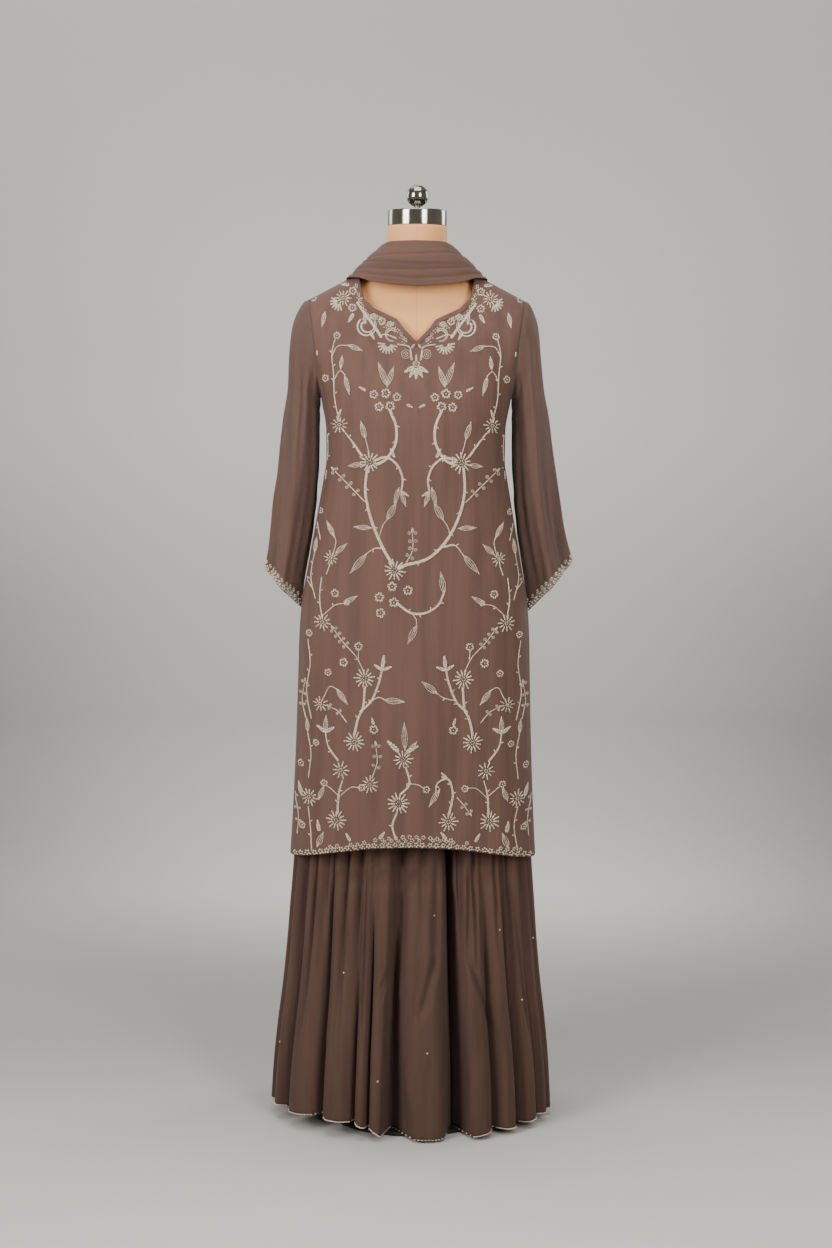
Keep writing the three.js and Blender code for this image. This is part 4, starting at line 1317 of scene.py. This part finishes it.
BLOSSOMS = rows_of(
    "sides x z radius",
    (BOTH, 49, 1242, 9), (BOTH, 31, 1236, 8), (BOTH, 69, 1240, 8), (BOTH, 42, 1221, 9),
    (BOTH, 60, 1220, 8.5), (LEFT, 37, 926, 9), (LEFT, 11, 920, 9), (LEFT, 58, 908, 9),
    (LEFT, 34, 900, 9), (LEFT, 56, 882, 9), (BOTH, 92, 826, 8), (BOTH, 117, 798, 8.5),
    (BOTH, 66, 688, 8.5), (BOTH, 132, 912, 8), (BOTH, 112, 898, 6), (BOTH, 131, 1336, 7),
    (BOTH, 150, 1266, 7), (BOTH, 86, 590, 7), (BOTH, 149, 594, 7), (RIGHT, 22, 590, 7),
    (BOTH, 143, 780, 7), (BOTH, 176, 842, 7), (BOTH, 163, 660, 6.5), (BOTH, 190, 620, 7),
    (BOTH, 187, 516, 7), (BOTH, 172, 1398, 6), (BOTH, 158, 1046, 6),
)
LEAVES = rows_of(
    "sides x z angle length wide",
    (BOTH, 47, 1254, 68, 40, 8.6),
    (BOTH, 47, 1254, 108, 32, 7.8),
    (BOTH, 82, 1168, 74, 28, 7.8),
    (BOTH, 88, 1126, -8, 22, 7.0),
    (BOTH, 117, 1270, -104, 30, 6.2),
    (BOTH, 124, 1282, 96, 20, 5.5),
    (BOTH, 112, 1320, 200, 24, 7.0),
    (BOTH, 23, 1080, 250, 22, 6.2),
    (BOTH, 27, 1088, 285, 28, 7.0),
    (BOTH, 46, 1036, 118, 32, 9.4),
    (BOTH, 72, 1022, 2, 28, 7.0),
    (BOTH, 80, 978, -50, 40, 9.4),
    (RIGHT, 49, 914, 100, 36, 8.6),
    (RIGHT, 4, 862, 244, 32, 9.4),
    (BOTH, 116, 896, 148, 24, 7.0),
    (BOTH, 134, 1006, 62, 26, 7.0),
    (BOTH, 131, 978, 138, 24, 7.0),
    (RIGHT, 38, 750, 142, 30, 9.4),
    (LEFT, 48, 738, 184, 32, 9.4),
    (BOTH, 128, 752, 232, 28, 7.8),
    (BOTH, 147, 680, 92, 26, 7.0),
    (LEFT, 14, 656, 88, 44, 8.6),
    (LEFT, 10, 650, 128, 24, 6.2),
    (RIGHT, 44, 590, 238, 32, 7.8),
    (BOTH, 158, 566, 112, 24, 7.0),
    (BOTH, 188, 566, 74, 22, 6.2),
    (BOTH, 160, 1082, 100, 24, 6.2),
    (BOTH, 168, 976, 98, 24, 6.2),
    (BOTH, 178, 676, 86, 22, 6.2),
    (BOTH, 152, 1374, -80, 22, 6.2),
    (BOTH, 160, 486, 112, 26, 8.6),
)
BUDS = rows_of(
    "sides x z angle length wide",
    (BOTH, 52, 792, 96, 20, 7),
    (BOTH, 51, 788, 158, 15, 6),
    (BOTH, 53, 788, 32, 15, 6),
    (BOTH, 147, 680, 150, 17, 7),
    (BOTH, 148, 680, 34, 17, 7),
    (BOTH, 22, 1082, 212, 13, 5),
    (BOTH, 34, 1138, 64, 16, 5),
    (BOTH, 66, 696, 74, 12, 5),
    (BOTH, 82, 1246, 28, 13, 5),
    (BOTH, 15, 1224, 205, 11, 5),
    (LEFT, 24, 652, 44, 26, 8),
    (LEFT, 12, 652, 152, 22, 7),
    (BOTH, 128, 1202, 110, 14, 5),
    (BOTH, 150, 1190, 84, 20, 5),
    (BOTH, 157, 512, 80, 18, 8),
    (RIGHT, 56, 606, 128, 15, 6),
    (BOTH, 104, 500, 60, 15, 6),
    (BOTH, 56, 506, 128, 15, 6),
    (BOTH, 165, 1300, 84, 18, 6),
)
SPRIGS = rows_of(
    "sides path pairs size",
    (BOTH, [(84, 1066), (106, 1088), (132, 1112)], 4, 5.2),
    (LEFT, [(16, 962), (4, 986), (4, 1012)], 4, 5.4),
    (BOTH, [(104, 818), (118, 832), (132, 850)], 4, 4.8),
    (LEFT, [(68, 608), (60, 634), (62, 658)], 3, 5.4),
    (RIGHT, [(74, 574), (86, 560), (92, 552)], 2, 4.6),
    (BOTH, [(182, 700), (188, 728), (184, 756)], 3, 4.6),
    (BOTH, [(150, 1128), (156, 1150), (150, 1172)], 3, 3.8),
    (BOTH, [(170, 916), (184, 936), (182, 962)], 3, 4.0),
    (BOTH, [(196, 500), (194, 530), (200, 560)], 3, 4.2),
    (BOTH, [(112, 700), (126, 716), (138, 722)], 2, 4.0),
)


def mirrored_angle(angle, side):
    return angle if side > 0 else 180 - angle


def lay_stems(work):
    for row in STEMS:
        for side in row["sides"]:
            path = [(side * x, z) for x, z in row["path"]]
            work.chain(path, row["wide"])
            work.thorns(path, row["thorns"], 2.4 + 0.4 * row["wide"][0])


def lay_motifs(work):
    """Flowers, leaves, buds and sprigs between the stems."""
    for row in DAISIES:
        for side in row["sides"]:
            work.daisy(side * row["x"], row["z"], row["radius"], row["petals"])
    for row in BLOSSOMS:
        for side in row["sides"]:
            work.blossom(side * row["x"], row["z"], row["radius"])
    for motif, rows in ((work.leaf, LEAVES), (work.bud, BUDS)):
        for row in rows:
            for side in row["sides"]:
                angle = mirrored_angle(row["angle"], side)
                motif(side * row["x"], row["z"], angle, row["length"], row["wide"])
    for row in SPRIGS:
        for side in row["sides"]:
            work.berries([(side * x, z) for x, z in row["path"]], row["pairs"], row["size"])


# Motifs along the neckline, the same on both sides of its point
NECK_FANS = {"point": (47, 1322, -80, 15, 170), "shoulder": (128, 1392, -40, 14, 130)}
NECK_SCROLLS = rows_of(
    "x z angle turn radius wide",
    (40, 1338, -100, 230, 11, 5),
    (82, 1352, 150, 250, 15, 10),
)
NECK_STEMS = rows_of(
    "path wide",
    ([(8, 1304), (12, 1318), (30, 1322)], (2.4, 2.0)),
    ([(58, 1334), (70, 1352), (88, 1376), (98, 1390)], (4.2, 3.4)),
    ([(34, 1332), (50, 1338), (60, 1336)], (2.4, 2.0)),
)
NECK_DAISY = (122, 1398, 14, 12)
NECK_BLOSSOMS = (
    (106, 1410, 8), (106, 1382, 8), (92, 1394, 6), (57, 1360, 7.5), (70, 1367, 6.5), (44, 1355, 6),
)
NECK_ROSETTE = {"x": 17, "z": 1306, "rings": (7, 3.6), "bead": 2.4}
NECK_BUDS = rows_of(
    "x z angle length wide",
    (104, 1372, -60, 16, 7), (86, 1370, -98, 15, 6), (76, 1342, -120, 14, 6), (112, 1420, 10, 18, 6),
    (8, 1316, 130, 9, 4),
)
NECK_EDGE = {"count": 22, "from": 14, "to": 96, "below": 10, "wave": 5, "waves": 19}
NECK_DROP = {"buds": 1287, "blossom": 1290, "crown": 1296, "turns": (-150, -118, -90, -62, -30)}


def neck_fan(work, side, name):
    x, z, angle, radius, spread = NECK_FANS[name]
    work.fan(side * x, z, mirrored_angle(angle, side), radius, spread)


def lay_neck_edge(work, side):
    """Rings, beads and short stitches that follow the edge of the neckline."""
    for share in steps(NECK_EDGE["count"], 0.04, 0.98):
        x = mix(NECK_EDGE["from"], NECK_EDGE["to"], share)
        wave = NECK_EDGE["wave"] * math.sin(share * NECK_EDGE["waves"])
        z = panel_top(x, "front") - NECK_EDGE["below"] - wave
        x += 6 * share
        if share < 0.34 or share > 0.5:
            work.ring(side * x, z, 2.1)
        work.bead(side * (x + 2), z - 6, 2.4, 1.4)
        work.stitch(side * (x - 1), z - 3, mirrored_angle(40, side), 4.4, 1.8)


def lay_neck_side(work, side):
    """Scrolls, fans and small flowers on one side of the neckline."""
    neck_fan(work, side, "point")
    for row in NECK_SCROLLS:
        angle = mirrored_angle(row["angle"], side)
        work.comma(side * row["x"], row["z"], angle, side * row["turn"], row["radius"], row["wide"])
    for row in NECK_STEMS:
        work.chain([(side * x, z) for x, z in row["path"]], row["wide"])
    x, *rest = NECK_DAISY
    work.daisy(side * x, *rest)
    neck_fan(work, side, "shoulder")
    for x, z, radius in NECK_BLOSSOMS:
        work.blossom(side * x, z, radius)
    x, z = side * NECK_ROSETTE["x"], NECK_ROSETTE["z"]
    for radius in NECK_ROSETTE["rings"]:
        work.ring(x, z, radius)
    work.bead(x, z, NECK_ROSETTE["bead"])
    for row in NECK_BUDS:
        angle = mirrored_angle(row["angle"], side)
        work.bud(side * row["x"], row["z"], angle, row["length"], row["wide"])
    lay_neck_edge(work, side)


def lay_neckline(work):
    """Dense motifs along the neckline, with a drop below its point."""
    for side in (1, -1):
        lay_neck_side(work, side)
    for angle in NECK_DROP["turns"]:
        a = math.radians(angle)
        work.bud(math.cos(a) * 5, NECK_DROP["buds"] + math.sin(a) * 4, angle, 17, 8)
    work.blossom(0, NECK_DROP["blossom"], 7)
    for off in (-7, 0, 7):
        work.bud(off, NECK_DROP["crown"], 90 - off * 2, 10, 4)


HEM_BAND = {"reach": 200, "high": 13, "step": 11.4, "middle": 60}


def lay_hem(work, side, thick_middle):
    """Band of small round flowers and seeds above a hem, thicker in its middle."""
    high = HEM_BAND["high"]
    x = -HEM_BAND["reach"]
    while x < HEM_BAND["reach"]:
        z = panel_hem(x, side)
        extra = thick_middle * math.exp(-(x / HEM_BAND["middle"]) ** 2)
        work.floret(x + DRAW.uniform(-1, 1), z + high * DRAW.uniform(0.36, 0.44), DRAW.uniform(4.4, 5.4))
        work.bead(x + 5.7, z + high * DRAW.uniform(0.1, 0.3), 2.2, 1.3)
        if DRAW.random() < 0.45 + extra / 12:
            work.floret(x + 5.4, z + high * DRAW.uniform(0.78, 0.92) + extra * 0.3, DRAW.uniform(3.4, 4.4))
        if extra > 2:
            work.floret(x + 1, z + high + extra * 0.8, DRAW.uniform(3.6, 4.6))
        x += HEM_BAND["step"]


for name, lay in (("stems", lay_stems), ("motifs", lay_motifs), ("neckline", lay_neckline)):
    work = Needlework(front_surface, inside_front)
    lay(work)
    work.piece("embroidered_" + name)
for side, surface, thick_middle in (("front", front_surface, 7), ("back", back_surface, 0)):
    work = Needlework(surface)
    lay_hem(work, side, thick_middle)
    work.piece("embroidered_hem_" + side, "hem_border_" + side)
for side in ("right", "left"):
    work = Needlework(cuff_surface(side))
    lay_cuff(work)
    work.piece("embroidered_cuff_" + side, "cuff_border_" + side)
for side, first, last, _ in LEGS:
    work = Needlework(skirt_surface)
    work.chain([(PLACE_WIDE * p, 1.1) for p in steps(4 * (last - first), first + 0.04, last - 0.04)],
               (2.2, 2.2), 2.4)
    work.piece("hem_piping_" + side)
work = Needlework(skirt_surface)
for row in SEQUINS:
    work.bead(PLACE_WIDE * row["place"], row["above"], 3.4, 1.2)
work.piece("sequins")


# Stage: a floor that curves up into a round wall, open above
# The paper's own colour, then the colours of the painted shade behind the part and of the painted glow in
# the middle of the wall
PAPER = (209, 208, 204)
PAPER_PAINTED_SHADE = (154, 152, 148)
PAINTED_GLOW = (233, 232, 228)
PAINTED_GLOW_IN_SHADE = (204, 203, 199)


# Where the painted shade and the painted glow change: start and end, in metres or as a slope to the side,
# and its two values
FADES = {
    "behind": (-0.9, 0.5, 0.0, 1.0), "low": (0.0, 1.3, 1.0, 0.0), "middle": (0.057, 0.27, 1.0, 0.0),
    "far": (0.7, 1.7, 0.0, 1.0), "not_high": (1.4, 2.9, 1.0, 0.1),
}
GLOW_TIP = 3.6


def paper_material():
    """Pale floor and wall, with a painted shade behind the part and a painted glow that widens towards the
    wall.
    """
    material, tree, shader = new_material("studio_paper", PAPER, Roughness=0.9, Specular_IOR_Level=0.1)
    place = tree.nodes.new("ShaderNodeTexCoord")
    parts = tree.nodes.new("ShaderNodeSeparateXYZ")
    tree.links.new(place.outputs["Object"], parts.inputs["Vector"])
    x, y, z = parts.outputs
    aside = arithmetic(tree, "DIVIDE", arithmetic(tree, "ABSOLUTE", x), arithmetic(tree, "ADD", y, GLOW_TIP))
    # painted shade: darker behind the part and low on the wall
    shade = arithmetic(tree, "MULTIPLY", fade(tree, y, *FADES["behind"]), fade(tree, z, *FADES["low"]))
    # painted glow: lighter in the middle of the wall, fading to the sides and up high
    glow = arithmetic(tree, "MULTIPLY", fade(tree, aside, *FADES["middle"]), fade(tree, y, *FADES["far"]))
    glow = arithmetic(tree, "MULTIPLY", glow, fade(tree, z, *FADES["not_high"]))
    blend = tree.nodes.new("ShaderNodeMix")
    blend.data_type = "RGBA"
    tree.links.new(glow, blend.inputs[0])
    tree.links.new(ramp(tree, shade, [(0.0, PAPER), (1.0, PAPER_PAINTED_SHADE)]), blend.inputs[6])
    tree.links.new(ramp(tree, shade, [(0.0, PAINTED_GLOW), (1.0, PAINTED_GLOW_IN_SHADE)]), blend.inputs[7])
    tree.links.new(blend.outputs[2], shader.inputs["Base Color"])
    return material


STAGE = {"floor": 4.6, "curve": 1.4, "high": 6.5}


def build_stage():
    """Bowl of revolution round the part, lit through its open top."""
    floor, curve, high = STAGE["floor"], STAGE["curve"], STAGE["high"]
    profile = [(floor * t, 0) for t in steps(24)]
    profile += [(floor + curve * math.sin(math.radians(a)), curve * (1 - math.cos(math.radians(a))))
                for a in steps(16, 0, 90)[1:]]
    profile += [(floor + curve, z) for z in steps(8, curve, high)[1:]]
    sides = 96
    points = [point for radius, z in profile for point in circle(radius, z, sides)]
    mesh = bpy.data.meshes.new("studio_floor")
    mesh.from_pydata(points, [], grid_faces(len(profile), sides))
    mesh.polygons.foreach_set("use_smooth", [True] * len(mesh.polygons))
    floor_piece = bpy.data.objects.new("studio_floor", mesh)
    bpy.context.scene.collection.objects.link(floor_piece)
    mesh.materials.append(paper_material())


def area_light(name, place, target, size, power, colour, spread):
    data = bpy.data.lights.new(name, "AREA")
    data.shape = "RECTANGLE"
    data.size, data.size_y = size
    data.energy = power
    data.color = colour
    data.spread = math.radians(spread)
    lamp = bpy.data.objects.new(name, data)
    lamp.location = place
    lamp.rotation_euler = (Vector(target) - Vector(place)).to_track_quat("-Z", "Y").to_euler()
    bpy.context.scene.collection.objects.link(lamp)


WARM, WHITE = (1.0, 0.98, 0.95), (1, 1, 1)
SKY = {"colour": (1.0, 0.99, 0.97, 1), "strength": 0.34}
LIGHTS = rows_of(
    "name place target size power colour spread",
    ("key_left", (-2.1, -2.1, 2.05), (0, 0, 1.6), (1.2, 1.9), 44, WARM, 100),
    ("key_right", (1.4, -2.7, 2.05), (0, 0, 1.6), (0.9, 1.9), 28, WARM, 100),
    ("top", (0, -0.6, 4.2), (0, 0, 0.6), (2.6, 2.2), 78, WHITE, 180),
    ("rim_right", (2.3, 1.5, 2.0), (0.1, 0, 1.1), (1.0, 1.6), 16, WARM, 120),
    ("rim_left", (-2.3, 1.7, 2.0), (-0.1, 0, 1.1), (1.0, 1.6), 10, WARM, 120),
    ("wall", (-0.9, 2.2, 4.8), (-1.2, 6.0, 0.6), (3.0, 1.0), 115, WHITE, 180),
)


def build_lights():
    world = bpy.data.worlds.new("studio_light")
    world.use_nodes = True
    background = world.node_tree.nodes["Background"]
    background.inputs["Color"].default_value = SKY["colour"]
    background.inputs["Strength"].default_value = SKY["strength"]
    bpy.context.scene.world = world
    for row in LIGHTS:
        area_light(**row)


def build_camera():
    data = bpy.data.cameras.new("camera")
    data.sensor_width = SENSOR
    data.lens = FOCAL_PIXELS / FRAME_HIGH * SENSOR
    camera = bpy.data.objects.new("camera", data)
    turn = Matrix.Rotation(math.radians(90 - CAMERA["tilt"]), 4, "X")
    roll = Matrix.Rotation(math.radians(CAMERA["roll"]), 4, "Z")
    camera.matrix_world = Matrix.Translation((CAMERA["x"], CAMERA["y"], CAMERA["z"])) @ turn @ roll
    bpy.context.scene.collection.objects.link(camera)
    bpy.context.scene.camera = camera


build_stage()
build_lights()
build_camera()
